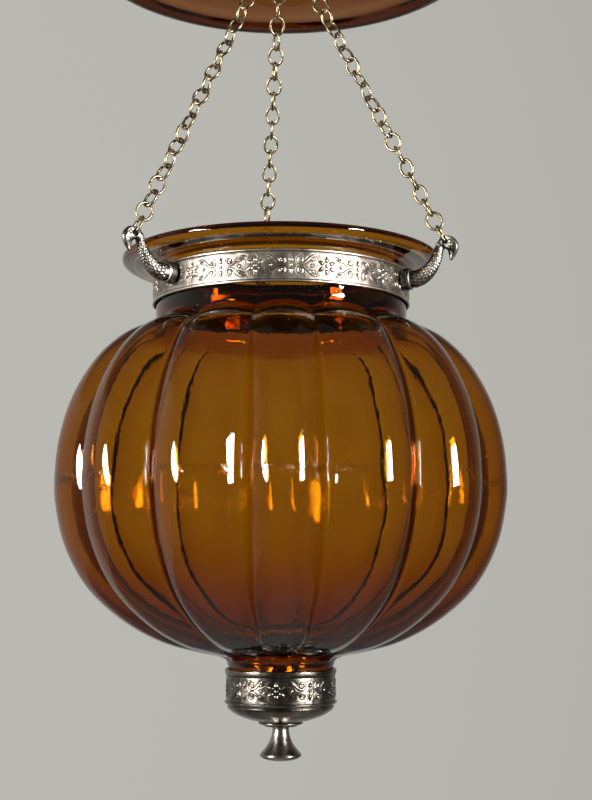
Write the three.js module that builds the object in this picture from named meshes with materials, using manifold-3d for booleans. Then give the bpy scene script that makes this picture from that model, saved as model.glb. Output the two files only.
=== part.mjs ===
// Hanging lantern: a lobed amber glass bowl on three link chains under a glass smoke bell.
// Millimetres, +Z up. The origin is the point inside the ceiling ring where the hook bears, so the lantern hangs below it.
import * as THREE from "three";
import { mergeVertices } from "three/addons/utils/BufferGeometryUtils.js";
import Module from "manifold-3d";

const wasm = await Module();
wasm.setup();

// ---------------------------------------------------------------- driving dimensions
const BOWL_DATUM = -485; // part height of the datum plane that the bowl's own heights are taken from
const VALLEYS = [18.7, 45.1, 70.9, 96.6, 122.3, 148.1, 173.7, 199.6, 226.9, 253.2, 274.8, 300.9, 328.1, 353.4]; // azimuths of the valleys between the bowl's 14 lobes
const ARM_AZIMUTHS = { rear: 90, left: 210, right: 330 };
const CLASP_AZIMUTH = 60; // lugs, bolt and nut of the neck band
const CLEAR = 0.3; // between touching pieces

const RING_R = 15, RING_WIRE = 1.6; // ceiling ring
const ROD_WIRE = 1.5, TOP_EYE_R = 5.2, LOW_EYE_R = 4.6; // suspension rod
const GATHER_R = 7, GATHER_WIRE = 1.2; // gather ring
const WIRE = 0.725, LINK_HALF_WIDTH = 4.35; // chain wire radius, half width of a link's centreline
const LINKS = 24; // links of one chain
const FUSED = 1.2, LOOSE = 1.75; // wire centre distance where links are fused, and where they are free

const BELL_RIM_R = 125.5, BELL_RIM_Z = 383.6, BELL_CROWN_Z = 432; // smoke bell
const BAND_IN = 76.6, BAND_OUT = 77.5, BAND_BEAD = 78.2, BAND_LOW = 160.2, BAND_TOP = 179.4;
const HOLE_R = 104.6, HOLE_Z = 190.9, HOLE = 2.3; // chain hole in an arm's head

const z = (e) => e + BOWL_DATUM;
const rad = (d) => (d * Math.PI) / 180;

// ---------------------------------------------------------------- materials
const mat = (name, color, metalness, roughness, extra = {}) => {
  const m = new THREE.MeshStandardMaterial({ color, metalness, roughness, ...extra });
  m.name = name;
  return m;
};
const AMBER = { transparent: true, opacity: 0.6 };

// ---------------------------------------------------------------- helpers
// A closed geometry as a solid, turned right side out.
function solid(geometry, matrix) {
  const g = geometry.clone();
  g.deleteAttribute("normal");
  g.deleteAttribute("uv");
  if (matrix) g.applyMatrix4(matrix);
  const m = mergeVertices(g, 1e-4);
  const idx = m.index.array, tri = [];
  for (let i = 0; i < idx.length; i += 3) {
    const a = idx[i], b = idx[i + 1], c = idx[i + 2];
    if (a !== b && b !== c && a !== c) tri.push(a, b, c);
  }
  const make = (t) =>
    new wasm.Manifold(
      new wasm.Mesh({
        numProp: 3,
        vertProperties: new Float32Array(m.attributes.position.array),
        triVerts: new Uint32Array(t),
      }),
    );
  let s = make(tri);
  if (s.volume() < 0) {
    for (let i = 0; i < tri.length; i += 3) [tri[i + 1], tri[i + 2]] = [tri[i + 2], tri[i + 1]];
    s = make(tri);
  }
  return s;
}

// tol: how far the surface may move, in mm, to drop needless vertices
function mesh(name, s, material, tol = 0.004) {
  const m = s.simplify(tol).getMesh(), n = m.numProp, v = new Float32Array(m.numVert * 3);
  for (let i = 0; i < m.numVert; i++) v.set(m.vertProperties.subarray(i * n, i * n + 3), i * 3);
  const g = new THREE.BufferGeometry();
  g.setAttribute("position", new THREE.BufferAttribute(v, 3));
  g.setIndex(new THREE.BufferAttribute(m.triVerts, 1));
  g.computeVertexNormals();
  const o = new THREE.Mesh(g, material);
  o.name = name;
  return o;
}

// A profile of [radius, height] turned about +Z. loop closes it on itself; move(r, height, azimuth) may reshape it.
function turned(profile, segments, { loop = false, start = 0, move } = {}) {
  const pts = profile.map(([r, h]) => new THREE.Vector2(r, h));
  if (loop) pts.push(pts[0].clone());
  const g = new THREE.LatheGeometry(pts, segments, rad(start + 90));
  g.rotateX(Math.PI / 2);
  if (move) {
    const p = g.attributes.position;
    for (let i = 0; i < p.count; i++) {
      const x = p.getX(i), y = p.getY(i), h = p.getZ(i), r = Math.hypot(x, y);
      const k = r > 1e-6 ? move(r, h, Math.atan2(y, x)) / r : 1;
      p.setXYZ(i, x * k, y * k, h);
    }
  }
  return g;
}

// A ring of round wire about +Z: r the centreline, w the wire's radius.
function wireRing(r, w, segments, sides) {
  const prof = [];
  for (let i = 0; i < sides; i++) {
    const a = (2 * Math.PI * i) / sides;
    prof.push([r + w * Math.cos(a), w * Math.sin(a)]);
  }
  return turned(prof, segments, { loop: true });
}

// An oval link in the XY plane, long axis X: half length a and half width b of the centreline.
function linkGeometry(a, b, w, segments = 8, sides = 4) {
  const R = 10, g = wireRing(R, w * 1.12, segments, sides), p = g.attributes.position;
  for (let i = 0; i < p.count; i++) {
    const x = p.getX(i), y = p.getY(i), t = Math.atan2(y, x), off = Math.hypot(x, y) - R;
    const nx = b * Math.cos(t), ny = a * Math.sin(t), n = Math.hypot(nx, ny);
    p.setXYZ(i, a * Math.cos(t) + (off * nx) / n, b * Math.sin(t) + (off * ny) / n, p.getZ(i));
  }
  return g;
}

// Round wire along a path of [x, y, z] points.
function wirePath(points, r, steps, sides = 8) {
  const curve = new THREE.CatmullRomCurve3(points.map((p) => new THREE.Vector3(...p)), false, "centripetal");
  const section = new THREE.Shape();
  for (let i = 0; i < sides; i++) {
    const a = (2 * Math.PI * (i + 0.5)) / sides;
    i ? section.lineTo(r * Math.cos(a), r * Math.sin(a)) : section.moveTo(r * Math.cos(a), r * Math.sin(a));
  }
  section.closePath();
  return new THREE.ExtrudeGeometry(section, { steps, bevelEnabled: false, extrudePath: curve, curveSegments: 1 });
}

const basis = (ex, ey, ez, o) =>
  new THREE.Matrix4().makeBasis(ex, ey, ez).setPosition(o);

// A hexagonal nut about +Z with a round hole.
function nut(across, hole, low, high) {
  const s = new THREE.Shape();
  for (let i = 0; i < 6; i++) {
    const a = (Math.PI / 3) * i, R = across / Math.sqrt(3);
    i ? s.lineTo(R * Math.cos(a), R * Math.sin(a)) : s.moveTo(R * Math.cos(a), R * Math.sin(a));
  }
  s.closePath();
  const h = new THREE.Path();
  h.absarc(0, 0, hole, 0, 2 * Math.PI, true);
  s.holes.push(h);
  const g = new THREE.ExtrudeGeometry(s, { depth: high - low, bevelEnabled: false, curveSegments: 12 });
  g.translate(0, 0, low);
  return g;
}

const lantern = new THREE.Group();
lantern.name = "lantern";
const add = (name, s, material, tol) => lantern.add(mesh(name, s, material, tol));

// ---------------------------------------------------------------- ceiling ring and suspension rod
const ringCentre = -(RING_R - RING_WIRE);
{
  const g = wireRing(RING_R, RING_WIRE, 24, 6);
  g.rotateX(Math.PI / 2); // the ring stands in the XZ plane
  g.translate(0, 0, ringCentre);
  add("ceiling_ring", solid(g), mat("ring_metal", 0x8a7a5c, 0.9, 0.42));
}
const ringLow = ringCentre - RING_R; // wire centre at the ring's lowest point: the first pivot
const topEye = ringLow + RING_WIRE + ROD_WIRE + CLEAR - TOP_EYE_R; // centre of the rod's upper eye
const hookLow = z(404.5); // wire centre at the lowest point of the rod's lower loop: the second pivot
const lowEye = hookLow + LOW_EYE_R;
{
  const pts = [];
  for (let d = -52; d <= 232; d += 20.3) pts.push([0, TOP_EYE_R * Math.cos(rad(d)), topEye + TOP_EYE_R * Math.sin(rad(d))]);
  pts.push([0, -1.3, topEye - 6.6], [0, -0.1, topEye - 9.3], [0, 0, topEye - 12], [0, 0, (topEye + lowEye) / 2], [0, 0, lowEye + 9.5], [0, 0.25, lowEye + 7.4], [0, 1.8, lowEye + 5.2]);
  for (let d = 46; d >= -210; d -= 21.3) pts.push([0, LOW_EYE_R * Math.cos(rad(d)), lowEye + LOW_EYE_R * Math.sin(rad(d))]);
  add("suspension_rod", solid(wirePath(pts, ROD_WIRE, 44, 6)), mat("rod_metal", 0x8f7a4e, 0.9, 0.4));
}

// ---------------------------------------------------------------- smoke bell with its cap, nuts and washer
{
  // the outer (upper) face from the hole to the rim, the rolled rim, then the inner face back to the hole
  const rz = BELL_RIM_Z;
  const outer = [[7, BELL_CROWN_Z], [26, BELL_CROWN_Z - 1], [47, 426.2], [68, 418], [87, 407.5], [102, 397.8], [113.4, 391], [119.4, 389.4]];
  const rim = [[123.4, rz + 4.2], [BELL_RIM_R, rz + 2.1], [123.4, rz]];
  const inner = [[118.2, 384.7], [114.6, 387.3], [101.5, 394.4], [86, 404.4], [67, 414.9], [46.4, 423.1], [7, 429]];
  const p = [...outer, ...rim, ...inner].map(([r, e]) => [r, z(e)]);
  add("smoke_bell", solid(turned(p, 40, { loop: true })), mat("bell_amber", 0x7a3a12, 0, 0.12, AMBER));
  const cap = [[2, 438.6], [6, 438.2], [12.5, 435], [16.8, 432.8], [15.8, 432.3], [11.5, 433.6], [2, 436.6]];
  add("bell_cap", solid(turned(cap.map(([r, e]) => [r, z(e)]), 24, { loop: true })), mat("cap_metal", 0x9a8453, 0.9, 0.38));
  add("bell_nut", solid(nut(9, 1.9, z(438.9), z(442.1))), mat("nut_metal", 0x93804f, 0.9, 0.4));
  add("bell_washer", solid(turned([[2, 426.3], [14, 426.3], [14, 427.5], [2, 427.5]].map(([r, e]) => [r, z(e)]), 20, { loop: true })), mat("washer_metal", 0x8c7d5e, 0.9, 0.42));
  add("bell_lock_nut", solid(nut(9, 1.9, z(422.7), z(426))), mat("lock_nut_metal", 0x93804f, 0.9, 0.4));
}

// ---------------------------------------------------------------- gather ring
const gatherCentre = hookLow + ROD_WIRE + GATHER_WIRE + CLEAR - GATHER_R;
const gatherLow = gatherCentre - GATHER_R; // the third pivot
{
  const g = wireRing(GATHER_R, GATHER_WIRE, 20, 6);
  g.rotateX(Math.PI / 2);
  g.translate(0, 0, gatherCentre);
  add("gather_ring", solid(g), mat("gather_metal", 0x8a7a5c, 0.9, 0.42));
}

// ---------------------------------------------------------------- chains
// A chain runs from the gather ring to the hole in an arm's head. Its end links are free pieces; the links between them are fused where they touch.
const chainMetal = { left: mat("chain_left_metal", 0x8a7450, 0.85, 0.45), right: mat("chain_right_metal", 0x8a7450, 0.85, 0.45), rear: mat("chain_rear_metal", 0x8a7450, 0.85, 0.45) };
function chain(side) {
  const az = rad(ARM_AZIMUTHS[side]), dx = { left: -3.5, right: 3.5, rear: 0 }[side];
  const lift = GATHER_R - Math.sqrt(GATHER_R * GATHER_R - dx * dx);
  const bar = new THREE.Vector3(dx, 0, gatherLow + lift); // the gather ring's wire where the chain hangs on it
  const radial = new THREE.Vector3(Math.cos(az), Math.sin(az), 0), tangent = new THREE.Vector3(-Math.sin(az), Math.cos(az), 0);
  const hole = radial.clone().multiplyScalar(HOLE_R).setZ(z(HOLE_Z));
  const u0 = bar.clone().sub(hole).normalize();
  const top = bar.clone().addScaledVector(u0, GATHER_WIRE + WIRE + CLEAR + 0.3);
  const low = hole.clone().addScaledVector(u0, HOLE - WIRE - CLEAR - 0.7);
  const u = top.clone().sub(low), total = u.length();
  u.normalize();
  const len = (total + 2 * LOOSE + (LINKS - 3) * FUSED) / LINKS; // centreline length of a link
  const across = tangent.clone().addScaledVector(u, -tangent.dot(u)).normalize();
  // the top link stands across the gather ring's wire
  const wantNormal = new THREE.Vector3(gatherCentre - bar.z, 0, dx).normalize();
  wantNormal.addScaledVector(u, -wantNormal.dot(u)).normalize();
  const other = new THREE.Vector3().crossVectors(u, across);
  // link k is turned 90 degrees k + twist k / (LINKS - 1); its width lies along across at 0
  const wantWidth = new THREE.Vector3().crossVectors(wantNormal, u);
  let need = (Math.atan2(wantWidth.dot(other), wantWidth.dot(across)) * 180) / Math.PI - 90 * (LINKS - 1);
  need = ((((need + 90) % 180) + 180) % 180) - 90;
  const linkAt = (k, centre) => {
    const a = rad(90 * k + (need * k) / (LINKS - 1));
    const w = across.clone().multiplyScalar(Math.cos(a)).addScaledVector(other, Math.sin(a));
    const n = new THREE.Vector3().crossVectors(u, w);
    return solid(linkGeometry(len / 2, LINK_HALF_WIDTH, WIRE, k % (LINKS - 1) ? 6 : 12), basis(u, w, n, low.clone().addScaledVector(u, centre)));
  };
  let c = len / 2;
  add("chain_" + side + "_bottom_link", linkAt(0, c), chainMetal[side]);
  c += len - LOOSE;
  let run = null;
  for (let k = 1; k < LINKS - 1; k++) {
    const l = linkAt(k, c);
    run = run ? run.add(l) : l;
    c += k < LINKS - 2 ? len - FUSED : len - LOOSE;
  }
  add("chain_" + side, run, chainMetal[side], 0.09);
  add("chain_" + side + "_top_link", linkAt(LINKS - 1, c), chainMetal[side]);
}
chain("left");
chain("right");
chain("rear");

// ---------------------------------------------------------------- neck band with its clasp
{
  const band = solid(
    turned([[BAND_IN, BAND_LOW], [BAND_BEAD, BAND_LOW + 0.3], [BAND_OUT, BAND_LOW + 2.2], [BAND_OUT, BAND_TOP - 2.2], [BAND_BEAD, BAND_TOP - 0.3], [BAND_IN, BAND_TOP]].map(([r, e]) => [r, z(e)]), 48, { loop: true }),
  );
  const turn = new THREE.Matrix4().makeRotationZ(rad(CLASP_AZIMUTH));
  const block = (x0, x1, y0, y1, e0, e1) => {
    const g = new THREE.BoxGeometry(x1 - x0, y1 - y0, e1 - e0);
    g.translate((x0 + x1) / 2, (y0 + y1) / 2, z((e0 + e1) / 2));
    return solid(g, turn);
  };
  const bore = (r, x, e) => {
    const g = new THREE.CylinderGeometry(r, r, 30, 14);
    g.translate(x, 0, z(e));
    return solid(g, turn);
  };
  const gap = block(70, 90, -1.2, 1.2, 150, 190);
  const lugs = block(77, 85.5, -2.6, 2.6, 164, 175.6).subtract(gap);
  add("neck_band", band.subtract(gap).add(lugs).subtract(bore(1.6, 81.6, 169.8)), mat("band_nickel", 0x8f867c, 0.9, 0.35));
  const shank = new THREE.CylinderGeometry(1.25, 1.25, 12.4, 12);
  shank.translate(81.6, 0.9, z(169.8));
  const head = new THREE.SphereGeometry(2.7, 12, 8);
  head.scale(1, 0.62, 1);
  head.translate(81.6, -4.65, z(169.8));
  const slotBox = new THREE.BoxGeometry(6, 1, 0.8);
  slotBox.translate(81.6, -6.1, z(169.8));
  add("band_bolt", solid(shank, turn).add(solid(head, turn)).subtract(solid(slotBox, turn)), mat("bolt_metal", 0x8c8478, 0.9, 0.4));
  const n = nut(5.4, 1.65, 0, 2.2);
  n.rotateX(-Math.PI / 2); // its axis runs along the bolt
  n.translate(81.6, 2.95, z(169.8));
  add("band_nut", solid(n, turn), mat("band_nut_metal", 0x8c8478, 0.9, 0.4));
}

// ---------------------------------------------------------------- arms: a round collar, a neck that curves out and up, and a bird's head with a chain hole
// [radius from the lantern's axis, height, half thickness in the arm's plane, half thickness across it]
const ARM = [
  [81.2, 171.4, 5.3, 5.3], [86, 171.3, 4.95, 4.8], [90.6, 172.8, 4.5, 4.3], [94.9, 176.4, 3.9, 3.8], [98, 181.2, 3.3, 3.3], [99.9, 186, 2.8, 2.85], [101.1, 190.2, 2.5, 2.5], [102.6, 193.2, 1.7, 1.8],
];
// the head and beak in the arm's plane: [radius, height]
const HEAD = [
  [99.2, 190.6], [100.2, 193.2], [101.9, 194.9], [104.4, 195.4], [107.6, 194.9], [110.2, 193], [111.9, 190.2], [112.1, 187.7], [111.1, 184.9], [109.5, 182.2],
  [108, 180.4], [106.9, 180.5], [106.3, 182.4], [106, 184.8], [105.4, 186.6], [104.2, 187.5], [102.7, 187.4], [101.2, 186.4], [99.4, 187.6],
];
function arm(side) {
  const g = turned([[0, 0], ...ARM.map((_, i) => [1, i]), [0, ARM.length - 1]], 8), p = g.attributes.position;
  const spine = new THREE.CatmullRomCurve3(ARM.map(([r, e]) => new THREE.Vector3(r, 0, z(e))), false, "centripetal");
  for (let i = 0; i < p.count; i++) {
    const s = p.getZ(i), k = Math.round(s), t = k / (ARM.length - 1);
    const c = new THREE.Vector3(ARM[k][0], 0, z(ARM[k][1])), T = spine.getTangent(t);
    const N = new THREE.Vector3(-T.z, 0, T.x);
    const v = c.addScaledVector(N, p.getX(i) * ARM[k][2]);
    v.y += p.getY(i) * ARM[k][3];
    p.setXYZ(i, v.x, v.y, v.z);
  }
  const turn = new THREE.Matrix4().makeRotationZ(rad(ARM_AZIMUTHS[side]));
  const collar = new THREE.CylinderGeometry(6.4, 6.4, 4.9, 16);
  collar.rotateZ(-Math.PI / 2); // its axis is radial
  collar.translate(BAND_BEAD + CLEAR + 2.45, 0, z(171.4));
  const outline = new THREE.Shape(HEAD.map(([r, e]) => new THREE.Vector2(r, e)));
  const head = new THREE.ExtrudeGeometry(outline, { depth: 2, bevelThickness: 0.8, bevelSize: 0.7, bevelOffset: -0.7, bevelSegments: 1 });
  head.translate(0, 0, -1);
  head.rotateX(Math.PI / 2); // heights run up, and its thickness across the arm's plane
  head.translate(0, 0, BOWL_DATUM);
  const hole = new THREE.CylinderGeometry(HOLE, HOLE, 20, 12);
  hole.translate(HOLE_R, 0, z(HOLE_Z));
  const s = solid(g, turn).add(solid(collar, turn)).add(solid(head, turn)).subtract(solid(hole, turn));
  add("arm_" + side, s, mat("arm_" + side + "_nickel", 0x857b70, 0.9, 0.42), 0.03);
}
arm("left");
arm("right");
arm("rear");

// ---------------------------------------------------------------- glass bowl
// [crest radius, height, depth of the valleys]: up the outer face, round the lip and down the inner face
const BOWL = [
  [30.6, -71, 0], [30.6, -56.4, 0], [31.5, -53.6, 0], [32.6, -51, 0.2], [36.5, -48.9, 1.4], [50, -46, 5.4], [70, -40.4, 9], [92.5, -28.4, 11.4], [114.6, -8.5, 13], [128.6, 17, 14.1], [134, 41, 14.6],
  [134.5, 54, 14.7], [132.4, 78, 14.5], [125, 103, 13.6], [111.6, 125.8, 11.2], [98, 139, 7.2], [87, 145.2, 3.2], [79.6, 147.6, 0.9], [76.1, 151.2, 0], [76.1, 179.3, 0], [77.4, 181, 0], [81, 182.7, 0],
];
const LIP = [[86.5, 183.5], [90.6, 184.1], [93.4, 184.5], [95.6, 185.5], [96.6, 187.1], [96.4, 188.9], [95, 190.1], [93.1, 190.3], [90.5, 189.4], [84, 188.2], [77.5, 186]];
const HOLLOW = [
  [72.6, 181.5, 0], [72.1, 176, 0], [72.7, 150.8, 0], [78.1, 144.9, 0.9], [85.8, 142.7, 3.4], [96.4, 137, 7.6], [109.6, 124.3, 11.8], [122.7, 102, 14.3], [129.9, 77.5, 15.2], [131.9, 53.9, 15.4],
  [131.3, 41.4, 15.3], [125.9, 18.1, 14.8], [111.8, -6.3, 13.7], [89.8, -24.7, 12], [67.9, -35.2, 9.5], [48.6, -40.4, 5.7], [35, -43.5, 1.5], [29.3, -47.5, 0.2], [27.9, -52.3, 0], [27.6, -71, 0],
];
{
  const all = [...BOWL, ...LIP.map((q) => [...q, 0]), ...HOLLOW];
  const g = turned(all.map(([r, e]) => [r, z(e)]), VALLEYS.length * 6, { loop: true }), p = g.attributes.position;
  for (let i = 0; i < p.count; i++) {
    const x = p.getX(i), y = p.getY(i);
    let u = (Math.atan2(y, x) * VALLEYS.length) / (2 * Math.PI);
    if (u < 0) u += VALLEYS.length;
    const k = Math.floor(u + 1e-6) % VALLEYS.length, s = Math.min(Math.max(u - Math.floor(u + 1e-6), 0), 1); // which lobe, and how far through it
    const next = k + 1 < VALLEYS.length ? VALLEYS[k + 1] : VALLEYS[0] + 360;
    const a = rad(VALLEYS[k] + (next - VALLEYS[k]) * s);
    const r = Math.hypot(x, y) - all[(i % (all.length + 1)) % all.length][2] * (2 * s - 1) ** 2;
    p.setXYZ(i, r * Math.cos(a), r * Math.sin(a), p.getZ(i));
  }
  add("glass_globe", solid(g), mat("amber_glass", 0xa8620c, 0, 0.08, AMBER));
}

// ---------------------------------------------------------------- bottom cup, candle socket and finial
{
  const at = (prof) => prof.map(([r, e]) => [r, z(e)]);
  const cup = [
    [31.1, -55.6], [33, -56.2], [32.1, -58.2], [32, -72.6], [32.9, -74.4], [31.8, -77.2], [29.5, -79.6], [24.5, -82.9], [18, -85.5], [2.4, -86.8],
    [2.4, -85.7], [17.6, -84.4], [23.6, -81.9], [28.2, -78.9], [31.1, -75.6],
  ];
  add("bottom_cup", solid(turned(at(cup), 32, { loop: true })), mat("cup_nickel", 0x857b70, 0.9, 0.33));
  add("neck_gasket", solid(turned(at([[25.5, -72.5], [30.5, -72.5], [30.5, -71.3], [25.5, -71.3]]), 24, { loop: true })), mat("gasket_felt", 0x5b4632, 0, 0.95));
  add("socket_plate", solid(turned(at([[2.4, -74.4], [30.2, -74.4], [30.2, -72.8], [2.4, -72.8]]), 24, { loop: true })), mat("plate_brass", 0xa08a55, 0.9, 0.4));
  const socket = [[0, -67.5], [11, -67.5], [11, -49.8], [12.2, -49.8], [12.2, -68], [20, -70.6], [20, -72.5], [2.4, -72.5], [2.4, -69.8], [0, -69.8]];
  add("candle_socket", solid(turned(at(socket), 24)), mat("socket_brass", 0xa08a55, 0.9, 0.4));
  add("threaded_rod", solid(turned(at([[0, -70.1], [1.6, -70.1], [2, -70.5], [2, -95.4], [1.4, -96], [0, -96]]), 14)), mat("rod_steel", 0x8d8a84, 0.9, 0.45));
  add("inner_nut", solid(nut(8, 2.35, z(-78.4), z(-74.7))), mat("inner_nut_metal", 0x8d8a84, 0.9, 0.45));
  add("finial_washer", solid(turned(at([[2.4, -87.1], [12.6, -86.8], [13.3, -87.2], [12.9, -87.9], [10.4, -88.5], [9.6, -89.3], [2.4, -89.4]]), 24, { loop: true })), mat("finial_washer_metal", 0x5f564d, 0.9, 0.4));
  const finial = [
    [0, -96.4], [2.35, -96.4], // the floor of the threaded bore, then its mouth
    [2.35, -89.7], [5, -89.7], [4.9, -91], [5.15, -93.4], [5.95, -96.3], [7.3, -99.1], [9.2, -101.8], [10.9, -103.8], [12, -105], [12.3, -105.8], [11.9, -106.6], [10.6, -107.6], [8.2, -108.4], [5, -108.95], [0, -109.3],
  ];
  add("finial", solid(turned(at(finial), 24)), mat("finial_nickel", 0x7a7067, 0.9, 0.3));
}

export default lantern;
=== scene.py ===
"""Looks of a hanging lantern: a lobed amber glass bowl in a stamped neck band, three wire chains on bird's-head arms,
a glass smoke bell above it and a stamped cup with a turned finial under it. Lengths are in millimetres until a mesh is
made, and heights are the part's own, with 0 at the point in the ceiling ring where the hook bears."""

import math

import bpy
import numpy as np
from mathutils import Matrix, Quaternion, Vector


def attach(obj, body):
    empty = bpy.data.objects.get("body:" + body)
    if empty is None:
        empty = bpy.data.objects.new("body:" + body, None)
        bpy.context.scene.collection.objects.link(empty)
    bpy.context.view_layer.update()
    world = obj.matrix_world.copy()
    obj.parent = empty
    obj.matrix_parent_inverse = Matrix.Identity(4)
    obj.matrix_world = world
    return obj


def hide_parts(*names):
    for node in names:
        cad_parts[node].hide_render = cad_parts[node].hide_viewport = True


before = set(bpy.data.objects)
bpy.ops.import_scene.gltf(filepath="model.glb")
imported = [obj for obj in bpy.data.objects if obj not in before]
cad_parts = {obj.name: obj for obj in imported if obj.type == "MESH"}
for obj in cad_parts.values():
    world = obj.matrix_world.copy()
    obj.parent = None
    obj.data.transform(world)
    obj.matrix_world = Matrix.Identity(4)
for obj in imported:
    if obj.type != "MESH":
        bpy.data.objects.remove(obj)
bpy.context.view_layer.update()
scene = bpy.context.scene
MM = 0.001
DATUM = -485.0  # part height of the plane that the bowl's heights are taken from
TAU = 2 * math.pi
# where the bowl's 14 valleys lie: blown by hand, so not quite even
VALLEYS = np.radians([18.7, 45.1, 70.9, 96.6, 122.3, 148.1, 173.7, 199.6, 226.9, 253.2, 274.8, 300.9, 328.1, 353.4])
ARMS = {"left": 210.0, "right": 330.0, "rear": 90.0}


# ---------------------------------------------------------------- shape helpers
def up(profile):
    """A profile given from the datum, as one in the part's heights."""
    moved = [(q[0], q[1] + DATUM, *q[2:]) for q in profile]
    return np.array(moved) if len({len(q) for q in moved}) == 1 else moved


def smooth_line(points, step, dims=2):
    """A centripetal Catmull-Rom curve through points, sampled about every step, which may be one for each span. The
    first dims columns are places."""
    p = np.array(points, float)
    p = np.vstack([2 * p[0] - p[1], p, 2 * p[-1] - p[-2]])
    out = []
    for i in range(1, len(p) - 2):
        a, b, c, d = p[i - 1 : i + 3]
        gap = [max(np.linalg.norm((y - x)[:dims]), 1e-6) for x, y in ((a, b), (b, c), (c, d))]
        t0, t1, t2, t3 = np.cumsum([0.0] + [g**0.5 for g in gap])
        n = max(1, int(round(gap[1] / (step[i - 1] if isinstance(step, list) else step))))
        t = np.linspace(t1, t2, n, endpoint=False)[:, None]
        a1 = ((t1 - t) * a + (t - t0) * b) / (t1 - t0)
        a2 = ((t2 - t) * b + (t - t1) * c) / (t2 - t1)
        a3 = ((t3 - t) * c + (t - t2) * d) / (t3 - t2)
        b1 = ((t2 - t) * a1 + (t - t0) * a2) / (t2 - t0)
        b2 = ((t3 - t) * a2 + (t - t1) * a3) / (t3 - t1)
        out.append(((t2 - t) * b1 + (t - t1) * b2) / (t2 - t1))
    out.append(p[-2][None])
    return np.vstack(out)


def rounded(points, radius=0.3, n=4, closed=True):
    """A polyline with its corners rounded. A point may give its own radius as a third number. Flats keep a support
    point near each corner, so that they shade flat."""
    pts = [np.array(q[:2], float) for q in points]
    radii = [q[2] if len(q) > 2 else radius for q in points]
    out, count = [], len(pts)
    for i, p in enumerate(pts):
        if not closed and i in (0, count - 1):
            out.append(p)
            continue
        a, b = pts[i - 1] - p, pts[(i + 1) % count] - p
        la, lb = np.linalg.norm(a), np.linalg.norm(b)
        a, b = a / la, b / lb
        half = math.acos(max(-1, min(1, float(a @ b)))) / 2
        t = min(radii[i] / max(math.tan(half), 1e-3), 0.42 * la, 0.42 * lb)
        if t < 1e-3 or half > 1.55:
            out.append(p)
            continue
        s, e = p + a * t, p + b * t
        out.append(s + a * min(0.2 * t, 0.05 * la))
        for k in range(n + 1):
            f = k / n
            out.append((1 - f) ** 2 * s + 2 * f * (1 - f) * p + f * f * e)
        out.append(e + b * min(0.2 * t, 0.05 * lb))
    return np.array(out)


def grid_faces(nu, nv, wrap_u, wrap_v):
    iu, iv = np.arange(nu if wrap_u else nu - 1), np.arange(nv if wrap_v else nv - 1)
    ju, jv = (iu + 1) % nu, (iv + 1) % nv
    at = lambda a, b: a[:, None] * nv + b[None, :]
    return np.stack([at(iu, iv), at(ju, iv), at(ju, jv), at(iu, jv)], -1).reshape(-1, 4)


def lathe(profile, segments, move=None):
    """A profile of (radius, height) turned about the lantern's axis: it begins and ends on the axis, or else it is
    closed on itself. segments is their number or the azimuths themselves, and move(r, h, azimuth) may reshape it.
    Returns places and faces."""
    p = np.asarray(profile, float)
    az = np.arange(segments) * TAU / segments if isinstance(segments, int) else segments
    segments = len(az)
    poles = p[0, 0] < 1e-6 and p[-1, 0] < 1e-6
    body = p[1:-1] if poles else p
    r = np.repeat(body[None, :, 0], segments, 0)
    h = np.repeat(body[None, :, 1], segments, 0)
    a = np.repeat(az[:, None], len(body), 1)
    if move:
        r, h = move(r, h, a)
    v = np.stack([r * np.cos(a), r * np.sin(a), h], -1).reshape(-1, 3)
    faces = grid_faces(segments, len(body), True, not poles).tolist()
    if poles:
        n = len(body)
        v = np.vstack([v, [0, 0, p[0, 1]], [0, 0, p[-1, 1]]])
        first, last = len(v) - 2, len(v) - 1
        for i in range(segments):
            j = (i + 1) % segments
            faces += [[j * n, i * n, first], [i * n + n - 1, j * n + n - 1, last]]
    return v, faces


def tube(path, radius, normal, sides=12, closed=False):
    """Round wire along a path that lies in a plane with that normal. radius is a number or one for each point. Open
    ends are rounded off."""
    p = np.asarray(path, float)
    r = np.broadcast_to(np.asarray(radius, float), (len(p),)).copy()
    flat = np.asarray(normal, float) / np.linalg.norm(normal)
    if closed:
        t = np.roll(p, -1, 0) - np.roll(p, 1, 0)
    else:
        t = np.gradient(p, axis=0)
        t /= np.linalg.norm(t, axis=1)[:, None]
        ang = np.linspace(0, math.pi / 2, 5)[1:]
        head = [p[0] - t[0] * r[0] * 0.6 * math.sin(x) for x in ang[::-1]]
        tail = [p[-1] + t[-1] * r[-1] * 0.6 * math.sin(x) for x in ang]
        p, t = np.vstack([head, p, tail]), np.vstack([[t[0]] * 4, t, [t[-1]] * 4])
        caps = [max(math.cos(x), 0.02) for x in ang]
        r = np.concatenate([[r[0] * c for c in caps[::-1]], r, [r[-1] * c for c in caps]])
    t /= np.linalg.norm(t, axis=1)[:, None]
    n = np.cross(t, flat)
    n /= np.linalg.norm(n, axis=1)[:, None]
    b = np.cross(n, t)
    a = np.arange(sides) * TAU / sides
    v = p[:, None] + r[:, None, None] * (np.cos(a)[None, :, None] * n[:, None] + np.sin(a)[None, :, None] * b[:, None])
    faces = grid_faces(len(p), sides, closed, True).tolist()
    if not closed:
        last = (len(p) - 1) * sides
        faces += [list(range(sides))[::-1], [last + i for i in range(sides)]]
    return v.reshape(-1, 3), faces


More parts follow.
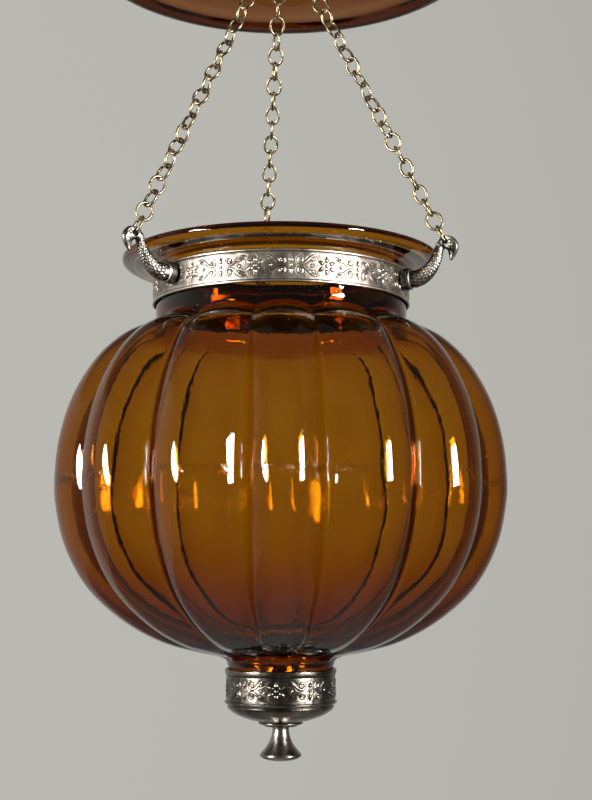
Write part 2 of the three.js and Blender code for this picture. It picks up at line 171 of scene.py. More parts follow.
def hex_nut(across, bore, low, high, chamfer=0.55):
    """A hexagonal nut about the lantern's axis, its corners turned off at 30 degrees."""
    seg = 96
    az = np.arange(seg) * TAU / seg
    hexr = across / 2 / np.cos((az + math.pi / 6) % (math.pi / 3) - math.pi / 6)
    r0 = across / 2 * 0.97
    drop = np.maximum(hexr - r0, 0) * chamfer
    rows = [
        (np.full(seg, bore + 0.35), np.full(seg, low)), (np.full(seg, bore), np.full(seg, low + 0.35)),
        (np.full(seg, bore), np.full(seg, high - 0.35)), (np.full(seg, bore + 0.35), np.full(seg, high)),
        (np.full(seg, r0 - 0.1), np.full(seg, high)), (np.full(seg, r0), np.full(seg, high - 0.01)),
        (hexr - 0.05, high - drop), (hexr, high - drop - 0.06),
        (hexr, low + drop + 0.06), (hexr - 0.05, low + drop),
        (np.full(seg, r0), np.full(seg, low + 0.01)), (np.full(seg, r0 - 0.1), np.full(seg, low)),
    ]
    v = np.stack([np.stack([r * np.cos(az), r * np.sin(az), h], -1) for r, h in rows], 1)
    return v.reshape(-1, 3), grid_faces(seg, len(rows), True, True).tolist()


def joined(*shapes):
    """Several (places, faces) as one."""
    v, f, base = [], [], 0
    for places, faces in shapes:
        v.append(np.asarray(places, float))
        f += [[i + base for i in face] for face in faces]
        base += len(places)
    return np.vstack(v), f


def turned_out(v, faces):
    """The faces, all turned over if they point into the shape."""
    total = 0.0
    for n in (3, 4):
        f = np.array([x for x in faces if len(x) == n], int)
        if len(f):
            for k in range(1, n - 1):
                total += float((v[f[:, 0]] * np.cross(v[f[:, k]], v[f[:, k + 1]])).sum())
    return faces if total >= 0 else [x[::-1] for x in faces]


def mesh_object(name, v, faces, sharp=None, values=None):
    me = bpy.data.meshes.new(name)
    me.from_pydata((np.asarray(v) * MM).tolist(), [], turned_out(np.asarray(v), faces))
    me.validate()
    me.update()
    me.shade_smooth()
    if sharp:
        me.set_sharp_from_angle(angle=math.radians(sharp))
    for key, numbers in (values or {}).items():
        layer = me.attributes.new(key, "FLOAT", "POINT")
        layer.data.foreach_set("value", np.asarray(numbers, np.float32).ravel())
    ob = bpy.data.objects.new(name, me)
    scene.collection.objects.link(ob)
    return ob


def piece(ob, material, body, slot, *nodes):
    """Gives a finished mesh its material, the body it rides on and the CAD nodes it stands for; slot is not used."""
    ob.data.materials.clear()
    ob.data.materials.append(material)
    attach(ob, body)
    if nodes:
        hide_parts(*nodes)
    return ob


def applied(ob, *modifiers):
    """ob with modifiers given as (type, settings), applied to its mesh."""
    for kind, settings in modifiers:
        m = ob.modifiers.new(kind.lower(), kind)
        for key, value in settings.items():
            setattr(m, key, value)
    dg = bpy.context.evaluated_depsgraph_get()
    made = bpy.data.meshes.new_from_object(ob.evaluated_get(dg), depsgraph=dg)
    ob.modifiers.clear()
    old, ob.data = ob.data, made
    bpy.data.meshes.remove(old)
    return ob


def places_of(ob):
    v = np.zeros(len(ob.data.vertices) * 3)
    ob.data.vertices.foreach_get("co", v)
    return v.reshape(-1, 3) / MM


def set_places(ob, v):
    ob.data.vertices.foreach_set("co", (np.asarray(v) * MM).ravel())
    ob.data.update()


def waves(count, low, high, seed, tall=1.0):
    """A soft random field of (azimuth, height) in about -1 to 1, whose waves are from high to low long in mm at a
    radius of 100, and tall times as long upwards."""
    g = np.random.default_rng(seed)
    turns = np.round(TAU * 100 / g.uniform(low, high, count)) * g.choice([-1, 1], count)
    rise = TAU / (g.uniform(low, high, count) * tall) * g.choice([-1, 1], count)
    phase, size = g.uniform(0, TAU, count), g.uniform(0.5, 1, count)
    size /= math.sqrt((size**2).sum() / 2) * 1.6

    def field(az, h):
        out = np.zeros(np.broadcast(az, h).shape)
        for n, k, p, s in zip(turns, rise, phase, size):
            out += s * np.sin(n * az + k * h + p)
        return out

    return field


# ---------------------------------------------------------------- materials
class Nodes:
    """A material's node tree, with short calls for the nodes used here."""

    def __init__(self, name):
        self.material = bpy.data.materials.new(name)
        self.material.use_nodes = True
        self.tree = self.material.node_tree
        self.tree.nodes.clear()
        self.out = self.tree.nodes.new("ShaderNodeOutputMaterial")
        self.shader = self.tree.nodes.new("ShaderNodeBsdfPrincipled")
        self.tree.links.new(self.shader.outputs[0], self.out.inputs["Surface"])

    def new(self, kind, **settings):
        n = self.tree.nodes.new(kind)
        for key, value in settings.items():
            setattr(n, key, value)
        return n

    def put(self, socket, value):
        if isinstance(value, bpy.types.NodeSocket):
            self.tree.links.new(value, socket)
        else:
            socket.default_value = value

    def set(self, **values):
        for key, value in values.items():
            self.put(self.shader.inputs[key.replace("_", " ")], value)
        return self.material

    def at(self, scale=(1, 1, 1)):
        """Places on the piece at rest, in metres, stretched by scale."""
        c = self.new("ShaderNodeTexCoord").outputs["Object"]
        m = self.new("ShaderNodeMapping")
        self.put(m.inputs["Vector"], c)
        m.inputs["Scale"].default_value = scale
        return m.outputs[0]

    def noise(self, scale, detail=3.0, rough=0.5, stretch=(1, 1, 1), distortion=0.0):
        n = self.new("ShaderNodeTexNoise")
        self.put(n.inputs["Vector"], self.at(stretch))
        n.inputs["Scale"].default_value = scale
        n.inputs["Detail"].default_value = detail
        n.inputs["Roughness"].default_value = rough
        n.inputs["Distortion"].default_value = distortion
        return n.outputs["Fac"]

    def value(self, name):
        return self.new("ShaderNodeAttribute", attribute_name=name).outputs["Fac"]

    def math(self, op, a, b=0.0, clamp=False):
        n = self.new("ShaderNodeMath", operation=op, use_clamp=clamp)
        self.put(n.inputs[0], a)
        self.put(n.inputs[1], b)
        return n.outputs[0]

    def spread(self, value, low, high, to_low=0.0, to_high=1.0):
        n = self.new("ShaderNodeMapRange", clamp=True, interpolation_type="SMOOTHSTEP")
        self.put(n.inputs["Value"], value)
        for key, number in (("From Min", low), ("From Max", high), ("To Min", to_low), ("To Max", to_high)):
            n.inputs[key].default_value = number
        return n.outputs["Result"]

    def mix(self, factor, a, b):
        n = self.new("ShaderNodeMix", data_type="RGBA")
        self.put(n.inputs[0], factor)
        for socket, colour in ((n.inputs[6], a), (n.inputs[7], b)):
            self.put(socket, colour if isinstance(colour, bpy.types.NodeSocket) else (*colour, 1))
        return n.outputs[2]

    def bump(self, height, distance, strength=1.0, normal=None):
        n = self.new("ShaderNodeBump")
        self.put(n.inputs["Height"], height)
        n.inputs["Distance"].default_value = distance
        n.inputs["Strength"].default_value = strength
        if normal is not None:
            self.put(n.inputs["Normal"], normal)
        return n.outputs[0]


def glass(name, colour, density, ripple, chill=None):
    """Tinted blown glass: the tint is in its thickness, so it darkens where the wall is seen edge on. chill is the
    height, in metres, of a belt of small sharp wrinkles that the cold mould left."""
    m = Nodes(name)
    fine = m.noise(260, 2.0, 0.45, (1, 1, 0.09))
    seeds = m.noise(900, 1.0, 0.5)
    normal = m.bump(fine, ripple)
    normal = m.bump(m.spread(seeds, 0.7, 0.8), 0.00004, 0.5, normal)
    if chill is not None:
        n = m.new("ShaderNodeSeparateXYZ")
        m.tree.links.new(m.at(), n.inputs[0])
        wander = m.math("MULTIPLY", m.math("SUBTRACT", m.noise(60, 1.0), 0.5), 0.006)
        away = m.math("ABSOLUTE", m.math("SUBTRACT", m.math("SUBTRACT", n.outputs["Z"], chill), wander))
        belt = m.math("MULTIPLY", m.spread(away, 0.0014, 0.0028, 1.0, 0.0), m.spread(m.noise(38, 2.0), 0.48, 0.54))
        crinkle = m.spread(m.noise(480, 1.0, 0.5, (1, 1, 1.7)), 0.46, 0.58)
        normal = m.bump(m.math("MULTIPLY", belt, crinkle), 0.00015, 1.0, normal)
    m.set(Base_Color=(1, 1, 1, 1), Roughness=0.0, IOR=1.5, Transmission_Weight=1.0, Normal=normal)
    v = m.new("ShaderNodeVolumeAbsorption")
    v.inputs["Color"].default_value = (*colour, 1)
    v.inputs["Density"].default_value = density
    m.tree.links.new(v.outputs[0], m.out.inputs["Volume"])
    return m.material


def old_metal(name, bright, middle, dark, polish=(0.24, 0.5), relief=False, mottle=90.0, brushed=(1, 1, 1), grain=0.00002):
    """Antiqued metal. bright is where it is rubbed, dark the tarnish that stays in the hollows. With relief it reads
    the mesh's own relief (height, 0 to 1) and hollow (0 to 1)."""
    m = Nodes(name)
    cloud = m.noise(mottle, 4.0, 0.6, distortion=0.3)
    speck = m.noise(mottle * 9, 3.0, 0.6)
    fine = m.noise(2600, 2.0, 0.6, brushed)
    base = m.mix(m.spread(cloud, 0.34, 0.68), middle, bright)
    base = m.mix(m.math("MULTIPLY", m.spread(speck, 0.52, 0.72), 0.45), base, dark)
    rough = m.spread(cloud, 0.3, 0.7, polish[0], polish[1] * 0.5 + polish[0] * 0.5)
    if relief:
        hollow, height = m.value("hollow"), m.value("relief")
        grime = m.math("MULTIPLY", hollow, m.spread(speck, 0.25, 0.6, 0.75, 1.0))
        base = m.mix(grime, base, dark)
        base = m.mix(m.math("MULTIPLY", m.spread(height, 0.45, 0.95), 0.8), base, bright)
        rough = m.math("ADD", rough, m.math("MULTIPLY", hollow, polish[1] - polish[0]))
    normal = m.bump(fine, grain)
    normal = m.bump(m.spread(speck, 0.3, 0.75), 0.00003, 1.0, normal)
    return m.set(Base_Color=base, Metallic=1.0, Roughness=rough, Normal=normal)


amber_glass = glass("amber_glass", (0.875, 0.715, 0.08), 1200.0, 0.00003, DATUM * MM + 0.0535)
bell_glass = glass("bell_glass", (0.71, 0.45, 0.12), 1250.0, 0.00004)
antique_nickel = old_metal("antique_nickel", (0.54, 0.475, 0.40), (0.245, 0.214, 0.18), (0.028, 0.022, 0.017), (0.27, 0.46), relief=True)
finial_nickel = old_metal("finial_nickel", (0.36, 0.325, 0.29), (0.24, 0.21, 0.185), (0.08, 0.065, 0.05), (0.17, 0.34), mottle=60, brushed=(1, 1, 8))
# the cup's metal is the band's antique nickel made darker: painted shade for the dimmer light that falls on the cup
cup_nickel = old_metal("cup_nickel", (0.23, 0.208, 0.18), (0.10, 0.089, 0.075), (0.024, 0.020, 0.016), (0.2, 0.36), relief=True, mottle=110)
cast_nickel = old_metal("cast_nickel", (0.36, 0.33, 0.29), (0.085, 0.077, 0.066), (0.012, 0.010, 0.008), (0.3, 0.5), relief=True, mottle=160)
chain_metal = old_metal("chain_brass", (0.42, 0.33, 0.195), (0.20, 0.155, 0.095), (0.05, 0.038, 0.026), (0.3, 0.5), mottle=220)
ring_metal = old_metal("ring_brass", (0.40, 0.315, 0.19), (0.21, 0.165, 0.10), (0.05, 0.038, 0.026), (0.3, 0.52), mottle=120)
brass = old_metal("brass", (0.55, 0.42, 0.20), (0.38, 0.28, 0.13), (0.09, 0.065, 0.035), (0.22, 0.42), mottle=70, brushed=(1, 1, 6))
steel = old_metal("steel", (0.42, 0.41, 0.39), (0.28, 0.27, 0.26), (0.07, 0.06, 0.05), (0.28, 0.5), mottle=150)


def felt_material():
    m = Nodes("felt")
    fibres = m.noise(3200, 4.0, 0.7)
    patch = m.noise(260, 3.0, 0.5)
    base = m.mix(m.spread(patch, 0.3, 0.7), (0.085, 0.055, 0.035), (0.15, 0.105, 0.07))
    base = m.mix(m.math("MULTIPLY", m.spread(fibres, 0.5, 0.8), 0.5), base, (0.27, 0.2, 0.14))
    return m.set(Base_Color=base, Roughness=0.95, Sheen_Weight=0.4, Normal=m.bump(fibres, 0.0002))


felt = felt_material()

# ---------------------------------------------------------------- glass bowl
# (radius of a lobe's crest, height, depth of the valleys, thickness of the wall), up the outside to the flared lip
BOWL = [
    (30.6, -71, 0, 3.0), (30.6, -56.4, 0, 3.2), (31.5, -53.6, 0, 3.8), (32.6, -51.0, 0.2, 4.8), (36.5, -48.9, 2.2, 5.6), (50, -46.0, 6.4, 5.8),
    (70, -40.4, 9.0, 5.6), (92.5, -28.4, 11.4, 4.6), (114.6, -8.5, 13.0, 3.6), (128.6, 17, 14.1, 2.9), (134.0, 41, 14.6, 2.7), (134.5, 54, 14.7, 2.65),
    (132.4, 78, 14.5, 2.55), (125, 103, 13.6, 2.5), (111.6, 125.8, 11.2, 2.5), (98.0, 139.0, 7.2, 2.7), (87.0, 145.2, 3.2, 3.2), (79.6, 147.6, 0.9, 4.3),
    (76.6, 150.4, 0.1, 5.3), (76.1, 156, 0, 5.2), (76.1, 172, 0, 4.7), (76.1, 179.2, 0, 4.0), (77.4, 181.2, 0, 4.8), (81, 182.7, 0, 4.8), (86.5, 183.5, 0, 5.2), (90.6, 184.1, 0, 5.8),
]
ROWS = [2.5, 1.2, 1.0, 1.2, 2.0, 2.6, 3.0, 3.2, 3.4, 3.4, 3.4, 3.4, 3.0, 2.6, 2.2, 1.5, 1.1, 1.0, 1.0, 2.4, 2.4, 1.6, 0.9, 1.0, 1.3, 1.0]
# the lip: round its roll, over the groove behind it and the thick shelf, and down into the neck
LIP = [
    (90.6, 184.1), (93.4, 184.5), (95.6, 185.5), (96.6, 187.1), (96.4, 188.9), (95.0, 190.1), (93.1, 190.3), (91.2, 188.0), (88.6, 186.6),
    (85.5, 188.3), (80, 188.3), (75, 187.1), (72.1, 179.0), (71.4, 172.0),
]
LIP_ROWS = [0.7, 0.7, 0.7, 0.7, 0.7, 0.7, 0.7, 0.7, 0.8, 1.2, 1.2, 1.2, 2.4]


def lobed(az, width):
    """0 on a lobe's crest, 1 in a valley, which is rounded over that share of half a lobe."""
    first = VALLEYS[0]
    edges = np.append(VALLEYS, first + TAU)
    a = (az - first) % TAU + first
    k = np.clip(np.searchsorted(edges, a, side="right") - 1, 0, len(VALLEYS) - 1)
    t = np.abs(2 * (a - edges[k]) / (edges[k + 1] - edges[k]) - 1)
    return np.maximum(1 - np.sqrt((1 - t) ** 2 + width**2), 0) ** 2


def glass_bowl():
    outer = smooth_line(up(BOWL), ROWS)
    lip = smooth_line(up(LIP), LIP_ROWS)[1:]
    tangent = np.gradient(outer[:, :2], axis=0)
    tangent /= np.linalg.norm(tangent, axis=1)[:, None]
    inner = outer[:, :2] + np.stack([-tangent[:, 1], tangent[:, 0]], -1) * outer[:, 3:4]
    inner = np.hstack([inner, outer[:, 2:3] * 1.17])[outer[:, 1] < DATUM + 172.5]  # above that the lip's line goes on
    keep = [True] + [bool(np.linalg.norm(inner[i + 1, :2] - inner[i, :2]) > 0.75) for i in range(len(inner) - 1)]
    inner = inner[np.array(keep)][::-1]
    inner[-1, 1] = outer[0, 1]
    profile = np.vstack([outer[:, :3], np.hstack([lip[:-1], np.zeros((len(lip) - 1, 1))]), inner])
    n_out = len(outer)
    depth = profile[:, 2]
    outside = (np.arange(len(profile)) < n_out).astype(float)
    # places round the bowl: closer together in the valleys
    each = 27
    share = np.arange(each) / each
    share = share - 0.11 * np.sin(TAU * share)
    edges = np.append(VALLEYS, VALLEYS[0] + TAU)
    az = np.concatenate([edges[k] + (edges[k + 1] - edges[k]) * share for k in range(len(VALLEYS))])
    blown, blown_in = waves(12, 40, 110, 3), waves(12, 30, 90, 5)
    drawn, drawn_in, wrinkle = waves(14, 9, 18, 4, 9.0), waves(14, 9, 20, 6, 7.0), waves(26, 6, 12, 7, 0.5)
    valley = waves(9, 90, 200, 8, 1.2)

    def move(r, h, az):
        size = np.clip((r - 60) / 40, 0, 1)  # the neck and foot are true, and the belly wavers
        share = np.where(outside > 0.5, lobed(az + 0.0012 * valley(az, h) * size, 0.035), lobed(az + 0.0012 * valley(az, h) * size, 0.115))
        amount = np.where(outside > 0.5, 0.07 * blown(az, h) + (0.003 + 0.006 * share) * drawn(az, h), 0.07 * blown_in(az, h) + 0.006 * drawn_in(az, h))
        middle = np.exp(-(((h - DATUM - 48) / 14) ** 2))  # chill wrinkles where the glass first met the mould
        amount = amount + (1 - outside) * 0.006 * wrinkle(az, h) * middle
        neck = np.exp(-(((h - DATUM - 168) / 22) ** 2)) * 0.02 * drawn(az, h)
        sag = 2.3 * np.exp(-(((h - DATUM - 147.5) / 6.5) ** 2))  # the valleys start lower than the crests do
        return r - depth * share + amount * size - np.abs(0.09 * size) - np.abs(neck), h - sag * share

    v, faces = lathe(profile, az, move)
    shapes = [(v, turned_out(v, faces))]
    # seeds: small bubbles drawn long upwards, each a hollow inside the wall, and a belt of flat ones at the mould's seam
    g = np.random.default_rng(21)
    grid = v.reshape(len(az), len(profile), 3)
    belt = int(np.argmin(np.abs(profile[:n_out, 1] - DATUM - 51.5)))
    clusters = g.choice(len(az), 34)
    unit, unit_faces = lathe([(0, -1), (0.6, -0.8), (1, 0), (0.6, 0.8), (0, 1)], 8)
    unit_faces = [f[::-1] for f in turned_out(unit, unit_faces)]
    for count in range(200):
        flat = count >= 170
        i = (g.choice(clusters) + int(g.normal(0, 3.5))) % len(az) if flat else g.integers(0, len(az))
        k = belt + int(np.rint(g.normal(0, 0.7))) if flat else g.integers(12, n_out - 30)
        a = grid[i, k]
        line = grid[i, n_out + len(lip) - 1 :]
        b = line[int(np.argmin(np.linalg.norm(line - a, axis=1)))]
        thick = float(np.linalg.norm(b - a))
        way = (b - a) / thick
        round_it = np.cross(way, [0, 0, 1])
        round_it /= np.linalg.norm(round_it)
        size = min(g.uniform(0.14, 0.42), thick * 0.2)
        long_round, tall = (g.uniform(0.3, 1.1), g.uniform(0.12, 0.3)) if flat else (size, size * g.uniform(1.1, 2.4))
        centre = a + (b - a) * (g.uniform(0.25, 0.4) if flat else g.uniform(0.4, 0.6)) + np.array([0, 0, g.normal(0, 0.5) if flat else 0.0])
        tilt = g.normal(0, 0.25) if flat else 0.0
        local = unit * [long_round, size * (0.7 if flat else 1.0), tall]
        x, y = local[:, 0] * math.cos(tilt) - local[:, 2] * math.sin(tilt), local[:, 0] * math.sin(tilt) + local[:, 2] * math.cos(tilt)
        bubble = centre + x[:, None] * round_it + local[:, 1:2] * way + y[:, None] * np.cross(round_it, way)
        shapes.append((bubble, [f[::-1] for f in turned_out(bubble - centre, unit_faces)]))
    return joined(*shapes)


v, faces = glass_bowl()
piece(mesh_object("glass_bowl", v, faces), amber_glass, "bowl", "amber_glass", "glass_globe")

# ---------------------------------------------------------------- smoke bell
BELL = [
    (7, 432), (16, 431.8), (26, 431), (36, 429.3), (47, 426.2), (68, 418), (87, 407.5), (102, 397.8), (113.4, 391.0), (119.4, 389.4),
    (123.4, 387.8), (125.3, 385.6), (123.6, 383.7), (120.2, 383.9), (116.8, 385.3), (114.6, 387.3),
    (101.5, 394.4), (86, 404.4), (67, 414.9), (46.4, 423.1), (26, 428.1), (7, 429),
]
p = smooth_line(up(BELL), 1.8)
blown, drawn = waves(12, 30, 90, 13), waves(12, 7, 16, 14, 3.0)
v, faces = lathe(p, 200, lambda r, h, az: (r, h + np.clip((r - 10) / 60, 0, 1) * (0.16 * blown(az, r) + 0.02 * drawn(az, r)) * (r < 119)))
piece(mesh_object("bell_glass", v, faces, 50), bell_glass, "smoke_bell", "bell_glass", "smoke_bell")

# cap, nuts and washer of the bell
cap = rounded(up([(2, 438.6), (6, 438.2), (9.5, 436.9), (12.5, 435.1), (16.8, 432.9), (16.5, 432.3), (15.6, 432.3), (11.5, 434), (6, 436.1), (2, 436.6)]), 0.5)
piece(mesh_object("cap_over_bell", *lathe(cap, 96), 40), brass, "rod", "brass", "bell_cap")
piece(mesh_object("nut_over_bell", *hex_nut(9, 1.9, DATUM + 438.9, DATUM + 442.1), 25), brass, "rod", "brass", "bell_nut")
washer = rounded(up([(2, 426.3), (14, 426.3), (14, 427.5), (2, 427.5)]), 0.25)
piece(mesh_object("washer_under_bell", *lathe(washer, 80), 40), brass, "rod", "brass", "bell_washer")
piece(mesh_object("nut_under_bell", *hex_nut(9, 1.9, DATUM + 422.7, DATUM + 426), 25), brass, "rod", "brass", "bell_lock_nut")

# ---------------------------------------------------------------- ceiling ring, rod, gather ring
RING_R, RING_WIRE, ROD_WIRE, TOP_EYE_R, LOW_EYE_R, GATHER_R, GATHER_WIRE, CLEAR = 15, 1.6, 1.5, 5.2, 4.6, 7, 1.2, 0.3
ring_centre = -(RING_R - RING_WIRE)
top_eye = ring_centre - RING_R + RING_WIRE + ROD_WIRE + CLEAR - TOP_EYE_R
hook_low = DATUM + 404.5
low_eye = hook_low + LOW_EYE_R
gather_centre = hook_low + ROD_WIRE + GATHER_WIRE + CLEAR - GATHER_R
gather_low = gather_centre - GATHER_R


def hoop(radius, height, wire, seam, count=96, sides=16):
    """A ring of round wire in the XZ plane, its ends butted together at that angle with a hair's gap."""
    gap = 0.12 / radius
    a = seam + gap + np.arange(count) / (count - 1) * (TAU - 2 * gap)
    path = np.stack([radius * np.cos(a), 0 * a, height + radius * np.sin(a)], -1)
    return tube(path, wire, (0, 1, 0), sides)


piece(mesh_object("hanging_ring", *hoop(RING_R, ring_centre, RING_WIRE, math.radians(118)), 50), ring_metal, "ceiling_ring", "chain_brass", "ceiling_ring")
piece(mesh_object("chain_ring", *hoop(GATHER_R, gather_centre, GATHER_WIRE, math.radians(74), 72, 14), 50), ring_metal, "gather", "chain_brass", "gather_ring")

pts = [(0, TOP_EYE_R * math.cos(math.radians(d)), top_eye + TOP_EYE_R * math.sin(math.radians(d))) for d in np.arange(-52, 232.1, 20.3)]
pts += [(0, -1.3, top_eye - 6.6), (0, -0.1, top_eye - 9.3), (0, 0, top_eye - 12), (0, 0, (top_eye + low_eye) / 2), (0, 0, low_eye + 9.5), (0, 0.25, low_eye + 7.4), (0, 1.8, low_eye + 5.2)]
pts += [(0, LOW_EYE_R * math.cos(math.radians(d)), low_eye + LOW_EYE_R * math.sin(math.radians(d))) for d in np.arange(46, -210.1, -21.3)]
path = smooth_line(pts, 0.6, 3)
rod_v, rod_faces = tube(path, ROD_WIRE, (1, 0, 0), 18)
piece(mesh_object("rod_with_eyes", rod_v, rod_faces, 50), ring_metal, "rod", "chain_brass", "suspension_rod")

# ---------------------------------------------------------------- chains
WIRE, HALF_WIDTH, LINKS, TOUCH = 0.84, 4.3, 24, 1.72
HOLE_R, HOLE_Z, HOLE = 104.6, 190.9, 2.3


def link(length, half_width, seam, centre, along, across, lift=0.0, turns=1.0, sides=10, count=40):
    """One link of round wire, bent round and butted at its side. turns over 1 make a doubled, coiled ring."""
    flat = np.cross(along, across)
    total = TAU * turns
    a = np.linspace(0, total - (0.05 if turns == 1.0 else 0), int(count * turns)) + seam
    x = length / 2 * np.cos(a)[:, None] * along + half_width * np.sin(a)[:, None] * across
    x = x + centre + flat * (lift * (np.linspace(0, 1, len(a)) - 0.5))[:, None]
    return tube(x, WIRE, flat, sides)


def chain(side):
    az, dx = math.radians(ARMS[side]), {"left": -3.5, "right": 3.5, "rear": 0.0}[side]
    g = np.random.default_rng({"left": 31, "right": 32, "rear": 33}[side])
    bar = np.array([dx, 0, gather_low + GATHER_R - math.sqrt(GATHER_R**2 - dx * dx)])
    radial, tangent = np.array([math.cos(az), math.sin(az), 0]), np.array([-math.sin(az), math.cos(az), 0])
    hole = radial * HOLE_R + [0, 0, DATUM + HOLE_Z]
    unit = lambda q: q / np.linalg.norm(q)
    u0 = unit(bar - hole)
    top = bar + u0 * (GATHER_WIRE + WIRE + 0.45)
    low = hole + u0 * 0.5
    u, total = unit(top - low), float(np.linalg.norm(top - low))
    length = (total + (LINKS - 1) * TOUCH) / LINKS
    across = unit(tangent - u * (tangent @ u))
    want = np.array([gather_centre - bar[2], 0, dx])
    want = unit(unit(want) - u * (unit(want) @ u))
    other = np.cross(u, across)
    width = np.cross(want, u)
    need = math.degrees(math.atan2(width @ other, width @ across)) - 90 * (LINKS - 1)
    need = (need + 90) % 180 - 90
    shapes = []
    for k in range(LINKS):
        centre = low + u * (length / 2 + k * (length - TOUCH))
        loose = 0 if k in (0, LINKS - 1) else 1
        a = math.radians(90 * k + need * k / (LINKS - 1) + loose * g.uniform(-20, 20))
        w = math.cos(a) * across + math.sin(a) * other
        f = np.cross(u, w)
        tilt = loose * math.radians(g.uniform(-3.5, 3.5))
        along = math.cos(tilt) * u + math.sin(tilt) * w
        w = np.cross(f, along)
        half = HALF_WIDTH * (1 + loose * g.uniform(-0.05, 0.05))
        seam = math.radians(90 + g.uniform(-25, 25)) + (math.pi if g.random() < 0.5 else 0)
        if side == "left" and k == 19:  # a doubled ring that mends this chain
            shapes.append(link(length, half * 1.02, seam, centre, along, w, 1.5, 1.9, 10, 40))
        else:
            shapes.append(link(length + loose * g.uniform(-0.1, 0.05), half, seam, centre, along, w))
    v, faces = joined(*shapes)
    nodes = ("chain_" + side, "chain_" + side + "_top_link", "chain_" + side + "_bottom_link")
    piece(mesh_object("links_" + side, v, faces, 50), chain_metal, "bowl", "chain_brass", *nodes)


for side in ARMS:
    chain(side)

# ---------------------------------------------------------------- stamped ornament, shared by the neck band and the cup
# A motif is 40.6 mm long: a six-petalled flower between four scrolls, and a column of a dot and two drops at each end.
TILE = 40.6


def ornament(u, v):
    """Relief in mm at (u, v) from the flower's middle, and how deep the place lies in a chased outline, 0 to 1."""
    strokes = []  # each is (places, radii): balls along a line, whose tops make the relief
    scroll = smooth_line([
        (-14.5, 2.35, 0.7), (-13.9, 3.2, 0.5), (-14.5, 4.2, 0.42), (-15.7, 4.45, 0.42), (-16.75, 3.5, 0.45), (-16.7, 2.0, 0.5),
        (-15.7, 1.05, 0.55), (-14.2, 0.95, 0.58), (-12.6, 1.6, 0.6), (-10.9, 3.1, 0.62), (-9.3, 4.6, 0.6), (-7.4, 5.5, 0.5), (-4.9, 5.35, 0.12),
    ], 0.25)
    barb = smooth_line([(-10.6, 3.0, 0.3), (-9.0, 3.25, 0.62), (-7.3, 3.75, 0.42), (-5.7, 3.95, 0.12)], 0.25)
    for sx in (1, -1):
        for sy in (1, -1):
            for s in (scroll, barb):
                strokes.append((s[:, :2] * [sx, sy], s[:, 2]))
        strokes.append((np.array([[sx * 8.8, 0.0]]), np.array([0.82])))
        for end in (-TILE / 2, TILE / 2):
            t = np.linspace(0, 1, 12)
            strokes.append((np.stack([np.full(12, end), sx * (3.05 + 2.2 * t)], -1), 1.0 - 0.78 * t))
    for end in (-TILE / 2, TILE / 2):
        strokes.append((np.array([[end, 0.0]]), np.array([0.86])))
    strokes.append((np.array([[0.0, 0.0]]), np.array([0.84])))
    for k in range(6):
        a = math.radians(90 + 60 * k)
        t = np.linspace(0, 1, 12)
        reach = 3.1 + 2.15 * t
        strokes.append((np.stack([reach * math.cos(a) * 1.04, reach * math.sin(a)], -1), 1.02 - 0.8 * t))
    height, edge = np.zeros(u.shape), np.full(u.shape, 9.0)
    for places, radii in strokes:
        for (x, y), r in zip(places, radii):
            d2 = (u - x) ** 2 + (v - y) ** 2
            height = np.maximum(height, np.sqrt(np.maximum(r * r - d2, 0)))
            edge = np.minimum(edge, np.sqrt(d2) - r)
    groove = np.exp(-(((edge - 0.22) / 0.26) ** 2))
    return 0.62 * height - 0.13 * groove, np.clip(groove, 0, 1)


def strip_values(height, hollow):
    return {"relief": np.clip(height / 0.6, 0, 1), "hollow": hollow}


# ---------------------------------------------------------------- neck band
BAND_IN, BAND_OUT, BAND_LOW, BAND_TOP = 76.6, 77.5, DATUM + 160.2, DATUM + 179.4
CLASP = math.radians(60)


def neck_strap():
    middle, half = (BAND_LOW + BAND_TOP) / 2, (BAND_TOP - BAND_LOW) / 2
    per_tile, rows = 112, 61
    gap = 1.2 / 77.5
    columns = 12 * per_tile
    az = CLASP + gap + np.linspace(0, TAU - 2 * gap, columns)
    vv = np.linspace(-half, half, rows)
    deg_u = (np.degrees(az) - 267.2 + 15) % 30 - 15  # columns of drops at 267.2 degrees and every 30 from it
    u = ((deg_u + 30) % 30 - 15) * (TILE / 30)
    U, V = np.repeat(u[:, None], rows, 1), np.repeat(vv[None], columns, 0)
    relief, hollow = ornament(U, V)
    side = np.abs(V)
    bead = 0.62 * np.sqrt(np.maximum(1 - ((side - 8.72) / 0.86) ** 2, 0))
    line = np.exp(-(((side - 7.55) / 0.22) ** 2))
    worn = waves(20, 6, 30, 41)(az[:, None], V) * 0.03 + waves(12, 60, 160, 42)(az[:, None], V) * 0.08
    h = np.where(side > 7.8, bead, relief) - 0.12 * line + worn
    hollow = np.maximum(np.where(side > 7.6, 0, hollow), line)
    hollow = np.maximum(hollow, np.clip((side - 9.35) / 0.25, 0, 1) * 0.6)
    r = BAND_OUT + np.minimum(h, 0.68)
    back = np.array([(BAND_IN + 0.25, half), (BAND_IN, half - 0.3), (BAND_IN, 0), (BAND_IN, -half + 0.3), (BAND_IN + 0.25, -half)])
    A = np.repeat(az[:, None], rows + 5, 1)
    R = np.hstack([r, np.repeat(back[None, :, 0], columns, 0)])
    Z = middle + np.hstack([V, np.repeat(back[None, :, 1], columns, 0)])
    places = np.stack([R * np.cos(A), R * np.sin(A), Z], -1).reshape(-1, 3)
    faces = grid_faces(columns, rows + 5, False, True).tolist()
    n = rows + 5
    for i, turn in ((0, 1), (columns - 1, -1)):  # the strap's two ends
        faces.append([i * n + k for k in range(n)][:: -turn])
    zero = np.zeros((columns, 5))
    values = strip_values(np.hstack([h, zero]), np.hstack([hollow, zero + 0.9]))
    return places, faces, values


